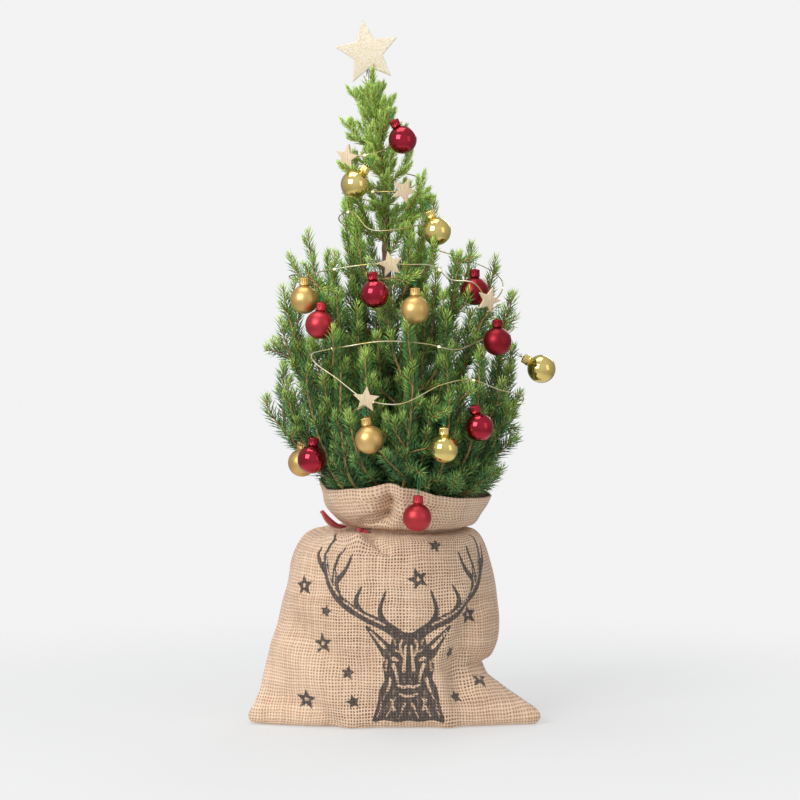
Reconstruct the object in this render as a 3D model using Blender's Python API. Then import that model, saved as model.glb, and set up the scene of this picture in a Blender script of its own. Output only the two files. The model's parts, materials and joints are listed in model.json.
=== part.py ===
"""Tabletop tree in a tied jute sack, hung with small baubles and a wound light wire.

Metres, +Z up. The origin is the centre of the pot's axis at table level, and the front faces -Y.
"""
import math

import bpy
import numpy as np
from mathutils import Matrix, Vector

GAP = 0.0003

# Sack
SACK_WALL = 0.002
SACK_SIDES = 28
# Each ring: height, left reach, right reach, half depth, corner sharpness (1 round, 2 pointed), and how far
# its two corners lie towards the front
SACK_RINGS = [
    (0.000, 0.130, 0.127, 0.070, 1.9, 0.046),
    (0.007, 0.135, 0.132, 0.073, 1.9, 0.046),
    (0.026, 0.129, 0.110, 0.076, 1.6, 0.038),
    (0.050, 0.122, 0.086, 0.079, 1.3, 0.028),
    (0.075, 0.115, 0.090, 0.081, 1.2, 0.020),
    (0.110, 0.104, 0.093, 0.084, 1.1, 0.012),
    (0.145, 0.090, 0.092, 0.085, 1.0, 0.004),
    (0.163, 0.080, 0.087, 0.081, 1.0, 0.000),
    (0.171, 0.068, 0.081, 0.071, 1.0, 0.000),
    (0.177, 0.055, 0.075, 0.062, 1.0, 0.000),
    (0.183, 0.054, 0.075, 0.061, 1.0, 0.000),
    (0.191, 0.058, 0.080, 0.066, 1.0, 0.000),
    (0.203, 0.064, 0.086, 0.073, 1.0, 0.000),
    (0.213, 0.068, 0.089, 0.078, 1.0, 0.000),
]
NECK_LEVEL = 9
BACK_ROUNDING = 0.25
RIM_LEFT_RISE = 0.009
RIM_WAVE = 0.003

# Ribbon round the neck
RIBBON_THICK = 0.0012
RIBBON_LOW = 0.1775
RIBBON_HIGH = 0.1825
RIBBON_CLEAR = 0.0012
# The bow: the middle and reach of the neck's round there, its heading, and how far its knot stands out
BOW_ROUND_X = 0.010
BOW_ROUND_REACH = (0.0655, 0.063)
BOW_HEADING = 205.0
BOW_STAND_OFF = 0.0045
# Each piece of the bow: points as (aside, out, up) from the knot, and the radius at each
BOW_PIECES = [
    ([(-0.006, 0.0, 0.0), (0.006, 0.0, 0.0)], (0.0042, 0.0042)),
    ([(0.0, 0.0, 0.0), (-0.010, 0.005, 0.004), (-0.024, 0.014, 0.009)], (0.0022, 0.0040, 0.0028)),
    ([(0.0, 0.0, 0.0), (0.010, 0.005, 0.003), (0.024, 0.014, 0.006)], (0.0022, 0.0040, 0.0028)),
    ([(0.0, 0.0, 0.0), (-0.004, 0.008, -0.001), (-0.010, 0.018, -0.006)], (0.0022, 0.0030, 0.0030)),
]
BOW_SIDES = 6

# Pot and the weight cast in it
POT_HEIGHT = 0.155
POT_BASE_Z = SACK_WALL + 0.0008
POT_BASE_RADIUS = 0.056
POT_TOP_RADIUS = 0.0755
POT_WALL = 0.0022
POT_LIP = 0.0022
POT_LIP_TALL = 0.012
WEIGHT_TOP = 0.065
WEIGHT_CLEAR = 0.001
POT_SIDES = 20

# Trunk: points of its axis with the radius there
TRUNK_AXIS = [
    ((0.000, 0.000, 0.030), 0.0075),
    ((0.000, 0.000, 0.140), 0.0070),
    ((-0.003, 0.000, 0.220), 0.0062),
    ((-0.0065, 0.000, 0.350), 0.0050),
    ((-0.008, 0.000, 0.430), 0.0040),
]
LEADER_AXIS = [(-0.008, 0.0, 0.4305), (-0.009, 0.0, 0.480), (-0.0150, -0.001, 0.540), (-0.0228, -0.004, 0.598)]

# Foliage
STEM_RADIUS = 0.0016
NEEDLE_REACH = 0.0100
SHOOT_SIDES = 6
# How far along and up a shoot has come where it turns upright, as shares of its run
SHOOT_BEND = (0.84, 0.84, 0.32)
BASE_OFFSET = 0.0022
# Each bough: height of its foot on the trunk, main tip, then side shoots as (place along the bough, tip)
BOUGHS = {
    "bough_left_high": (0.292, (-0.080, -0.020, 0.452), [
        (0.35, (-0.055, -0.042, 0.433)),
        (0.50, (-0.078, -0.050, 0.415)),
        (0.55, (-0.062, 0.022, 0.432)),
        (0.70, (-0.098, 0.006, 0.430)),
    ]),
    "bough_left_mid": (0.246, (-0.103, -0.015, 0.400), [
        (0.30, (-0.074, -0.056, 0.357)),
        (0.22, (-0.044, -0.048, 0.312)),
        (0.45, (-0.104, -0.048, 0.372)),
        (0.50, (-0.100, 0.030, 0.378)),
        (0.60, (-0.112, -0.025, 0.352)),
    ]),
    "bough_left_low": (0.212, (-0.120, -0.018, 0.298), [
        (0.35, (-0.066, -0.060, 0.290)),
        (0.18, (-0.048, -0.052, 0.252)),
        (0.22, (-0.056, 0.034, 0.258)),
        (0.50, (-0.098, -0.050, 0.315)),
        (0.55, (-0.102, 0.030, 0.300)),
        (0.65, (-0.094, -0.046, 0.268)),
        (0.75, (-0.104, 0.012, 0.328)),
    ]),
    "bough_right_high": (0.305, (0.071, -0.012, 0.440), [
        (0.30, (0.037, -0.052, 0.418)),
        (0.45, (0.058, -0.040, 0.432)),
        (0.50, (0.056, 0.030, 0.428)),
        (0.35, (0.022, 0.040, 0.440)),
    ]),
    "bough_right_mid": (0.258, (0.093, 0.006, 0.427), [
        (0.35, (0.074, -0.048, 0.362)),
        (0.24, (0.052, -0.044, 0.322)),
        (0.50, (0.109, -0.016, 0.395)),
        (0.45, (0.086, 0.044, 0.390)),
        (0.60, (0.112, 0.018, 0.372)),
    ]),
    "bough_right_low": (0.218, (0.108, -0.006, 0.331), [
        (0.30, (0.058, -0.064, 0.300)),
        (0.14, (0.058, -0.050, 0.246)),
        (0.20, (0.070, 0.030, 0.262)),
        (0.30, (0.092, -0.030, 0.244)),
        (0.45, (0.098, -0.048, 0.316)),
        (0.50, (0.110, -0.024, 0.292)),
        (0.60, (0.116, 0.014, 0.300)),
        (0.65, (0.108, -0.012, 0.264)),
    ]),
    "bough_front": (0.232, (0.014, -0.072, 0.381), [
        (0.25, (-0.010, -0.086, 0.270)),
        (0.12, (0.012, -0.064, 0.246)),
        (0.16, (-0.024, -0.062, 0.254)),
        (0.20, (0.036, -0.064, 0.262)),
        (0.30, (-0.042, -0.078, 0.286)),
        (0.35, (0.036, -0.078, 0.300)),
        (0.45, (-0.028, -0.072, 0.345)),
        (0.50, (0.044, -0.068, 0.345)),
        (0.60, (-0.008, -0.068, 0.392)),
    ]),
    "bough_back_left": (0.238, (-0.056, 0.072, 0.392), [
        (0.30, (-0.080, 0.052, 0.300)),
        (0.14, (-0.036, 0.058, 0.262)),
        (0.40, (-0.030, 0.086, 0.320)),
        (0.50, (-0.080, 0.056, 0.360)),
        (0.60, (-0.036, 0.060, 0.425)),
    ]),
    "bough_back_right": (0.270, (0.040, 0.074, 0.398), [
        (0.30, (0.080, 0.052, 0.312)),
        (0.14, (0.046, 0.056, 0.290)),
        (0.35, (0.014, 0.088, 0.330)),
        (0.50, (0.070, 0.064, 0.366)),
        (0.60, (0.006, 0.062, 0.432)),
    ]),
}
LEADER_SHOOTS = [
    (0.10, (0.027, -0.014, 0.505)),
    (0.06, (-0.045, -0.012, 0.485)),
    (0.20, (0.012, 0.034, 0.478)),
    (0.24, (-0.022, -0.034, 0.478)),
    (0.32, (0.010, -0.006, 0.516)),
    (0.34, (-0.046, -0.002, 0.512)),
    (0.42, (-0.024, 0.016, 0.532)),
    (0.46, (-0.024, -0.026, 0.530)),
    (0.56, (-0.043, -0.004, 0.552)),
    (0.60, (-0.004, -0.008, 0.573)),
    (0.74, (-0.037, -0.006, 0.580)),
]

# Baubles
BALL_RADIUS = 0.0125
BALL_WALL = 0.0009
BALL_SIDES = 10
NECK_RADIUS = 0.0036
CAP_RADIUS = 0.0046
CAP_LOW = 0.0121
CAP_TOP = 0.0185
CAP_SIDES = 6
PLUG_LOW = 0.0095
PLUG_CLEAR = 0.0006
SLEEVE_SEAT = 0.0005
EYE_TALL = 0.0016
THREAD_RADIUS = 0.0006
# Angles, from below, of the rings of the ball's outer and inner walls
OUTER_WALL_ANGLES = (-90, -52, -18, 16, 48)
INNER_WALL_ANGLES = (44, 12, -20, -54, -90)
# Each bauble: colour, ball centre, lean of the hanger to the right in degrees, hanger length from the
# ball's centre, heading of its swing in degrees
BAUBLES = [
    ("gloss_red", (0.007, -0.024, 0.5342), -25.0, 0.030, -60.0),
    ("gloss_gold", (-0.0365, -0.036, 0.4935), 34.0, 0.030, -110.0),
    ("gloss_gold", (0.038, -0.042, 0.4512), -20.0, 0.032, -50.0),
    ("matte_gold", (-0.082, -0.056, 0.3895), 0.0, 0.032, -140.0),
    ("gloss_red", (-0.018, -0.084, 0.3958), -8.0, 0.030, -95.0),
    ("matte_gold", (0.018, -0.092, 0.3817), 0.0, 0.031, -85.0),
    ("matte_red", (0.0725, -0.044, 0.3968), 0.0, 0.031, 180.0),
    ("matte_red", (-0.068, -0.070, 0.3675), 6.0, 0.031, -110.0),
    ("matte_red", (0.0925, -0.066, 0.3522), 0.0, 0.033, -50.0),
    ("gloss_gold", (0.134, -0.030, 0.3251), -58.0, 0.034, 0.0),
    ("matte_gold", (-0.085, -0.034, 0.2394), 0.0, 0.032, 180.0),
    ("gloss_red", (-0.0755, -0.064, 0.2450), 6.0, 0.033, -120.0),
    ("matte_gold", (-0.023, -0.098, 0.2659), -10.0, 0.031, -95.0),
    ("gloss_gold", (0.044, -0.092, 0.2566), 0.0, 0.033, -80.0),
    ("gloss_red", (0.0762, -0.078, 0.2755), -14.0, 0.033, -50.0),
    ("matte_red", (0.020, -0.096, 0.1955), 3.0, 0.040, -88.0),
]

# Light wire: points of its route, from the battery case up round the tree
WIRE_RADIUS = 0.0006
WIRE_POINTS = 80
WIRE_ROUTE = [
    (0.0240, 0.0500, 0.2240), (0.0260, 0.0560, 0.2340), (0.0640, 0.0760, 0.2560), (0.1060, 0.0400, 0.2780),
    (0.1180, -0.0120, 0.2980), (0.0940, -0.0560, 0.3080), (0.0690, -0.0700, 0.3175), (0.0420, -0.0830, 0.3140),
    (0.0050, -0.0930, 0.2975), (-0.0258, -0.0890, 0.3013), (-0.0530, -0.0790, 0.3200), (-0.0730, -0.0690, 0.3340),
    (-0.0760, -0.0640, 0.3400), (-0.0660, -0.0720, 0.3440), (-0.0460, -0.0800, 0.3480), (-0.0090, -0.0890, 0.3535),
    (0.0280, -0.0860, 0.3510), (0.0550, -0.0720, 0.3450), (0.0800, -0.0480, 0.3530), (0.1030, -0.0100, 0.3560),
    (0.1080, 0.0440, 0.3640), (0.0560, 0.0840, 0.3740), (-0.0080, 0.0900, 0.3840), (-0.0720, 0.0640, 0.3960),
    (-0.0980, 0.0140, 0.4080), (-0.0700, -0.0400, 0.4140), (-0.0240, -0.0640, 0.4215), (0.0120, -0.0670, 0.4215),
    (0.0350, -0.0620, 0.4200), (0.0500, -0.0590, 0.4080), (0.0710, -0.0630, 0.4050), (0.0850, -0.0570, 0.3885),
    (0.0990, -0.0180, 0.3990), (0.0900, 0.0340, 0.4130), (0.0440, 0.0700, 0.4300), (-0.0180, 0.0680, 0.4440),
    (-0.0480, 0.0340, 0.4560), (-0.0490, -0.0180, 0.4660), (-0.0370, -0.0380, 0.4677), (-0.0230, -0.0450, 0.4530),
    (0.0040, -0.0440, 0.4530), (0.0360, -0.0100, 0.4620), (0.0240, 0.0360, 0.4700), (-0.0280, 0.0400, 0.4790),
    (-0.0480, -0.0020, 0.4860), (-0.0180, -0.0290, 0.4870), (0.0080, -0.0320, 0.4880), (0.0220, -0.0020, 0.4990),
    (-0.0080, 0.0300, 0.5070), (-0.0440, 0.0100, 0.5150), (-0.0420, -0.0160, 0.5180), (-0.0180, -0.0260, 0.5220),
    (0.0010, -0.0080, 0.5300),
]

# Wooden stars on the light wire: centre of the back face, heading, turn in its own plane
WOOD_STAR_OUTER = 0.0125
WOOD_STAR_INNER = 0.0055
WOOD_STAR_THICK = 0.0028
WOOD_STARS = [
    ((-0.0430, -0.0178, 0.5180), -120.0, 10.0),
    ((0.0080, -0.0338, 0.4880), -80.0, 25.0),
    ((-0.0040, -0.0682, 0.4218), -95.0, -12.0),
    ((0.0840, -0.0598, 0.3890), -62.0, 20.0),
    ((-0.0258, -0.0908, 0.3013), -92.0, 4.0),
]

# Topper
TOPPER_CENTRE = (-0.0252, 0.006, 0.6145)
TOPPER_OUTER = 0.0305
TOPPER_INNER = 0.0140
TOPPER_THICK = 0.004
TOPPER_TURN = -9.0
PICK_RADIUS = 0.0012
PICK_Y = 0.0100
PICK_LOW = 0.572
PICK_HIGH = 0.622

PICK_POINT = 0.012
PICK_POINT_RADIUS = 0.0004

# Battery case, tucked into the collar at the back. The lid and switch are set off its middle, and cuts
# that open on a face run past it
CASE_CENTRE = (0.011, 0.0490, 0.2085)
CASE_SIZE = (0.036, 0.0105, 0.030)
CUT_PAST = 0.01
CELL_RADIUS = 0.0100
CELL_THICK = 0.0032
CELL_CLEAR = 0.0005
CELL_RISE = 0.0005
CELL_SIDES = 16
WELL_DEPTH = 0.02
LID_WIDE = 0.024
LID_THICK = 0.0014
LID_OFF_MIDDLE = -0.004
LID_FOOT = 0.0025
SWITCH_SIZE = (0.0050, 0.0034, 0.0030)
SWITCH_FROM_EDGE = 0.0045
SWITCH_LOW = 0.0045
SWITCH_SUNK = 0.0023
SLOT_HALF_WIDE = 0.0032
SLOT_HALF_TALL = 0.0048
SLOT_DEEP = 0.0026

# Room the foliage leaves round what stands in it
WIRE_ROOM = 0.0011
BALL_ROOM = 0.0153
THREAD_ROOM = 0.0022
CAP_ROOM = 0.0066
STAR_ROOM = 0.001
PICK_ROOM = 0.002
TOPPER_ROOM = 0.005
TOPPER_ROOM_Y = 0.0055
TOPPER_ROOM_HEIGHTS = (0.588, 0.645)
TOPPER_ROOM_ASIDE = (-0.020, 0.0, 0.020)
CASE_ROOM = 0.0080
CASE_ROOM_ASIDE = (-0.014, -0.007, 0.0, 0.007, 0.014)
CASE_ROOM_BELOW = 0.012
CASE_ROOM_ABOVE = 0.030
COLLAR_ROOM = 0.0050
TRUNK_ROOM = 0.0055
THINNEST_SHOOT = 0.0008


def clear_scene():
    for thing in list(bpy.data.objects):
        bpy.data.objects.remove(thing, do_unlink=True)


def material(name, colour, roughness, metallic=0.0):
    made = bpy.data.materials.get(name)
    if made:
        return made
    made = bpy.data.materials.new(name)
    made.use_nodes = True
    shader = made.node_tree.nodes["Principled BSDF"]
    shader.inputs["Base Color"].default_value = (*colour, 1.0)
    shader.inputs["Roughness"].default_value = roughness
    shader.inputs["Metallic"].default_value = metallic
    return made


JUTE = ("jute", (0.60, 0.42, 0.25), 0.9)
RIBBON = ("ribbon_satin", (0.45, 0.02, 0.04), 0.4)
POT_PLASTIC = ("pot_plastic", (0.05, 0.05, 0.05), 0.6)
CAST_WEIGHT = ("cast_weight", (0.35, 0.33, 0.30), 0.9)
BARK = ("bark", (0.20, 0.11, 0.05), 0.85)
NEEDLES = ("needles", (0.06, 0.16, 0.04), 0.6)
GLITTER = ("glitter", (0.85, 0.72, 0.45), 0.5)
STEEL = ("steel", (0.60, 0.60, 0.60), 0.3, 1.0)
SILVER_WIRE = ("silver_wire", (0.80, 0.75, 0.60), 0.3, 1.0)
PALE_WOOD = ("pale_wood", (0.75, 0.60, 0.40), 0.7)
CASE_PLASTIC = ("case_plastic", (0.80, 0.80, 0.78), 0.5)
SWITCH_PLASTIC = ("switch_plastic", (0.06, 0.06, 0.06), 0.5)
BAUBLE_FINISH = {
    "gloss_red": ("gloss_red", (0.28, 0.01, 0.03), 0.08, 0.6),
    "matte_red": ("matte_red", (0.40, 0.02, 0.04), 0.45, 0.3),
    "gloss_gold": ("gloss_gold", (0.75, 0.52, 0.12), 0.08, 1.0),
    "matte_gold": ("matte_gold", (0.60, 0.38, 0.12), 0.40, 0.8),
}


def finish_object(name, mesh, look, smooth_angle=None):
    """Link a mesh as a named object with its material."""
    thing = bpy.data.objects.new(name, mesh)
    bpy.context.scene.collection.objects.link(thing)
    mesh.materials.append(material(*look))
    if smooth_angle is not None:
        mesh.shade_smooth()
        mesh.set_sharp_from_angle(angle=math.radians(smooth_angle))
    return thing


def mesh_from(name, vertices, faces):
    mesh = bpy.data.meshes.new(name)
    mesh.from_pydata(vertices, [], faces)
    mesh.update()
    return mesh


def lathe(profile, sides):
    """Vertices and faces of a closed body turned about Z. The profile runs up its outer side."""
    vertices = []
    rings = []
    for radius, height in profile:
        if radius == 0:
            rings.append([len(vertices)])
            vertices.append((0.0, 0.0, height))
            continue
        rings.append(list(range(len(vertices), len(vertices) + sides)))
        for step in range(sides):
            angle = 2 * math.pi * step / sides
            vertices.append((radius * math.cos(angle), radius * math.sin(angle), height))
    faces = []
    for low, high in zip(rings, rings[1:]):
        for step in range(sides):
            after = (step + 1) % sides
            if len(low) == 1:
                faces.append((low[0], high[after], high[step]))
            elif len(high) == 1:
                faces.append((low[step], low[after], high[0]))
            else:
                faces.append((low[step], low[after], high[after], high[step]))
    return vertices, faces


def lathe_ring(profile, sides):
    """Vertices and faces of a ring-shaped body. The profile is a loop that runs up its outer side."""
    vertices = []
    for radius, height in profile:
        for step in range(sides):
            angle = 2 * math.pi * step / sides
            vertices.append((radius * math.cos(angle), radius * math.sin(angle), height))
    faces = []
    count = len(profile)
    for ring in range(count):
        upper = (ring + 1) % count
        for step in range(sides):
            after = (step + 1) % sides
            faces.append((
                ring * sides + step,
                ring * sides + after,
                upper * sides + after,
                upper * sides + step,
            ))
    return vertices, faces


def prism(outline, thick):
    """A flat plate in the XZ plane, its back face at y = 0 and its front at -thick."""
    count = len(outline)
    vertices = [(x, 0.0, z) for x, z in outline] + [(x, -thick, z) for x, z in outline]
    faces = [tuple(reversed(range(count))), tuple(range(count, 2 * count))]
    for step in range(count):
        after = (step + 1) % count
        faces.append((step, after, count + after, count + step))
    return vertices, faces


def star_outline(outer, inner):
    points = []
    for step in range(10):
        reach = outer if step % 2 == 0 else inner
        angle = math.radians(90 + 36 * step)
        points.append((reach * math.cos(angle), reach * math.sin(angle)))
    return points


def box(low, high):
    xs, ys, zs = zip(low, high)
    vertices = [(x, y, z) for z in zs for y in ys for x in xs]
    faces = [(0, 2, 3, 1), (4, 5, 7, 6), (0, 1, 5, 4), (2, 6, 7, 3), (0, 4, 6, 2), (1, 3, 7, 5)]
    return vertices, faces


def tube(path, radii, sides):
    """Vertices and faces of a closed tapering stick along a path."""
    vertices = []
    path = [Vector(point) for point in path]
    run = path[-1] - path[0]
    across = Vector((-run.y, run.x, 0.0))
    if across.length < 0.02 * run.length:
        across = Vector((0.0, 1.0, 0.0))
    across.normalize()
    for index, point in enumerate(path):
        ahead = path[min(index + 1, len(path) - 1)] - path[max(index - 1, 0)]
        ahead.normalize()
        side = (across - ahead * across.dot(ahead)).normalized()
        other = ahead.cross(side)
        for step in range(sides):
            angle = 2 * math.pi * step / sides
            vertices.append(point + (side * math.cos(angle) + other * math.sin(angle)) * radii[index])
    faces = [tuple(reversed(range(sides)))]
    for ring in range(len(path) - 1):
        for step in range(sides):
            after = (step + 1) % sides
            faces.append((
                ring * sides + step,
                ring * sides + after,
                (ring + 1) * sides + after,
                (ring + 1) * sides + step,
            ))
    faces.append(tuple(range((len(path) - 1) * sides, len(path) * sides)))
    return [tuple(v) for v in vertices], faces


def smooth_curve(points, count):
    """Points at even steps along a centripetal Catmull-Rom curve through the given points."""
    given = [np.array(p) for p in points]
    given = [2 * given[0] - given[1]] + given + [2 * given[-1] - given[-2]]
    dense = []
    for a, b, c, d in zip(given, given[1:], given[2:], given[3:]):
        knots = [0.0]
        for start, end in ((a, b), (b, c), (c, d)):
            knots.append(knots[-1] + math.sqrt(float(np.linalg.norm(end - start))))
        t0, t1, t2, t3 = knots
        for t in np.linspace(t1, t2, 24, endpoint=False):
            ab = a * (t1 - t) / (t1 - t0) + b * (t - t0) / (t1 - t0)
            bc = b * (t2 - t) / (t2 - t1) + c * (t - t1) / (t2 - t1)
            cd = c * (t3 - t) / (t3 - t2) + d * (t - t2) / (t3 - t2)
            abc = ab * (t2 - t) / (t2 - t0) + bc * (t - t0) / (t2 - t0)
            bcd = bc * (t3 - t) / (t3 - t1) + cd * (t - t1) / (t3 - t1)
            dense.append(abc * (t2 - t) / (t2 - t1) + bcd * (t - t1) / (t2 - t1))
    dense.append(given[-2])
    dense = np.array(dense)
    along = np.concatenate([[0.0], np.cumsum(np.linalg.norm(np.diff(dense, axis=0), axis=1))])
    wanted = np.linspace(0.0, along[-1], count)
    return np.column_stack([np.interp(wanted, along, dense[:, axis]) for axis in range(3)])


def rising_curve(start, tip, places):
    """Points on a shoot that leaves outward and turns up towards its tip."""
    start = np.array(start)
    tip = np.array(tip)
    bend = start + (tip - start) * np.array(SHOOT_BEND)
    return [start * (1 - t) ** 2 + bend * 2 * t * (1 - t) + tip * t * t for t in places]


def polyline_point(points, place):
    points = np.array(points)
    along = np.concatenate([[0.0], np.cumsum(np.linalg.norm(np.diff(points, axis=0), axis=1))])
    return np.array([np.interp(place * along[-1], along, points[:, axis]) for axis in range(3)])


def trunk_point(height):
    heights = [point[2] for point, _ in TRUNK_AXIS]
    return np.array([np.interp(height, heights, [point[axis] for point, _ in TRUNK_AXIS]) for axis in range(3)])


def trunk_radius(height):
    return float(np.interp(height, [point[2] for point, _ in TRUNK_AXIS], [radius for _, radius in TRUNK_AXIS]))


# ---------------------------------------------------------------- sack, ribbon, pot, weight, trunk

def sack_ring(height, left, right, deep, sharp, forward, grow=0.0):
    """One level of the sack: round in the neck, drawn out to two pointed front corners at the base."""
    centre = (right - left) / 2
    wide = (right + left) / 2 + grow
    ring = []
    for step in range(SACK_SIDES):
        angle = 2 * math.pi * step / SACK_SIDES
        x = centre + wide * math.cos(angle)
        reach = abs(math.sin(angle)) ** sharp
        if math.sin(angle) > 0:
            reach = math.sin(angle) ** (1.0 + BACK_ROUNDING * (sharp - 1.0))
            ring.append((x, reach * (deep + forward + grow) - forward, height))
        else:
            ring.append((x, -reach * (deep - forward + grow) - forward, height))
    return ring


def rim_lift(x, y):
    """The collar's edge stands higher at the left and waves a little."""
    angle = math.atan2(y, x)
    return RIM_LEFT_RISE * max(0.0, -math.cos(angle)) + RIM_WAVE * math.sin(3 * angle + 0.6)


def make_sack():
    vertices = []
    for level in SACK_RINGS:
        vertices += sack_ring(*level)
    top = len(vertices) - SACK_SIDES
    for index in range(top, len(vertices)):
        x, y, z = vertices[index]
        vertices[index] = (x, y, z + rim_lift(x, y))
    faces = [tuple(reversed(range(SACK_SIDES)))]
    for ring in range(len(SACK_RINGS) - 1):
        for step in range(SACK_SIDES):
            after = (step + 1) % SACK_SIDES
            faces.append((
                ring * SACK_SIDES + step,
                ring * SACK_SIDES + after,
                (ring + 1) * SACK_SIDES + after,
                (ring + 1) * SACK_SIDES + step,
            ))
    sack = finish_object("sack", mesh_from("sack", vertices, faces), JUTE, 60)
    wall = sack.modifiers.new("wall", "SOLIDIFY")
    wall.thickness = SACK_WALL
    wall.offset = -1.0
    wall.use_even_offset = True


def neck_outline(grow):
    """The sack's level at the ribbon, widened by the given amount."""
    return [(x, y) for x, y, _ in sack_ring(*SACK_RINGS[NECK_LEVEL], grow)]


def make_ribbon():
    inner = neck_outline(RIBBON_CLEAR)
    outer = neck_outline(RIBBON_CLEAR + RIBBON_THICK)
    vertices = []
    for outline, height in ((outer, RIBBON_LOW), (outer, RIBBON_HIGH), (inner, RIBBON_HIGH), (inner, RIBBON_LOW)):
        vertices += [(x, y, height) for x, y in outline]
    faces = []
    for ring in range(4):
        upper = (ring + 1) % 4
        for step in range(SACK_SIDES):
            after = (step + 1) % SACK_SIDES
            faces.append((
                ring * SACK_SIDES + step,
                ring * SACK_SIDES + after,
                upper * SACK_SIDES + after,
                upper * SACK_SIDES + step,
            ))
    ribbon = finish_object("ribbon_tie", mesh_from("ribbon_tie", vertices, faces), RIBBON)
    heading = math.radians(BOW_HEADING)
    outward = Vector((math.cos(heading), math.sin(heading), 0.0))
    aside = Vector((-outward.y, outward.x, 0.0))
    wide, deep = BOW_ROUND_REACH
    middle = (RIBBON_LOW + RIBBON_HIGH) / 2
    knot = Vector((BOW_ROUND_X + wide * outward.x, deep * outward.y, middle)) + outward * BOW_STAND_OFF
    for index, (points, radii) in enumerate(BOW_PIECES):
        path = [knot + aside * side + outward * out + Vector((0.0, 0.0, rise)) for side, out, rise in points]
        join_by_boolean(ribbon, f"ribbon_piece_{index}", *tube(path, radii, BOW_SIDES))


def join_by_boolean(target, name, vertices, faces, operation="UNION"):
    """Add or cut a shape with a Boolean modifier; the shape itself stays a hidden guide."""
    guide = bpy.data.objects.new(name, mesh_from(name, vertices, faces))
    bpy.context.scene.collection.objects.link(guide)
    guide.hide_render = True
    guide.display_type = "WIRE"
    step = target.modifiers.new(name, "BOOLEAN")
    step.operation = operation
    step.solver = "EXACT"
    step.object = guide
    return guide


def pot_radius(height):
    return POT_BASE_RADIUS + (POT_TOP_RADIUS - POT_BASE_RADIUS) * (height - POT_BASE_Z) / POT_HEIGHT


def make_pot():
    top = POT_BASE_Z + POT_HEIGHT
    lip_low = top - POT_LIP_TALL
    floor = POT_BASE_Z + POT_WALL
    profile = [
        (0.0, POT_BASE_Z),
        (POT_BASE_RADIUS, POT_BASE_Z),
        (pot_radius(lip_low), lip_low),
        (pot_radius(lip_low) + POT_LIP, lip_low),
        (POT_TOP_RADIUS + POT_LIP, top),
        (POT_TOP_RADIUS - POT_WALL, top),
        (POT_BASE_RADIUS - POT_WALL, floor),
        (0.0, floor),
    ]
    finish_object("pot", mesh_from("pot", *lathe(profile, POT_SIDES)), POT_PLASTIC, 40)


def make_weight():
    low = POT_BASE_Z + POT_WALL + GAP
    clear = POT_WALL + WEIGHT_CLEAR
    hole = TRUNK_AXIS[0][1] + 2 * GAP
    profile = [
        (hole, low),
        (POT_BASE_RADIUS - clear, low),
        (pot_radius(WEIGHT_TOP) - clear, WEIGHT_TOP),
        (hole, WEIGHT_TOP),
    ]
    finish_object("weight", mesh_from("weight", *lathe_ring(profile, POT_SIDES)), CAST_WEIGHT, 40)


def make_trunk():
    path = [point for point, _ in TRUNK_AXIS]
    radii = [radius for _, radius in TRUNK_AXIS]
    finish_object("trunk", mesh_from("trunk", *tube(path, radii, 8)), BARK, 50)


# ---------------------------------------------------------------- foliage

def bough_shoots(name):
    """Paths of one bough's shoots: the main one from the trunk, then the side ones."""
    foot_height, main_tip, sides = BOUGHS[name]
    foot = trunk_point(foot_height)
    outward = np.array([main_tip[0] - foot[0], main_tip[1] - foot[1], 0.0])
    outward /= np.linalg.norm(outward)
    foot = foot + outward * (trunk_radius(foot_height) + BASE_OFFSET)
    places = (0.0, 0.12, 0.28, 0.46, 0.64, 0.82, 1.0)
    main = rising_curve(foot, main_tip, places)
    shoots = [(main, 0.16)]
    for place, tip in sides:
        start = polyline_point(main, place)
        shoots.append((rising_curve(start, tip, (0.0, 0.3, 0.6, 0.85, 1.0)), 0.0))
    return shoots


def leader_shoots():
    places = (0.0, 0.12, 0.3, 0.5, 0.7, 0.86, 1.0)
    main = [polyline_point(LEADER_AXIS, place) for place in places]
    shoots = [(main, 0.05)]
    for place, tip in LEADER_SHOOTS:
        start = polyline_point(main, place)
        shoots.append((rising_curve(start, tip, (0.0, 0.35, 0.7, 1.0)), 0.0))
    return shoots


def bauble_hang(entry):
    """Hanging point of a bauble, and the unit vector from its ball up the hanger."""
    _, centre, lean, drop, _ = entry
    up = np.array([math.sin(math.radians(lean)), 0.0, math.cos(math.radians(lean))])
    return np.array(centre) + up * drop, up


def beads_along(points, spacing, radius):
    """Small balls strung along a path, as rows of x, y, z, radius."""
    rows = []
    for start, end in zip(points, points[1:]):
        start = np.array(start)
        end = np.array(end)
        count = max(1, int(np.linalg.norm(end - start) / spacing))
        for step in range(count):
            rows.append([*(start + (end - start) * step / count), radius])
    rows.append([*points[-1], radius])
    return rows


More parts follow.
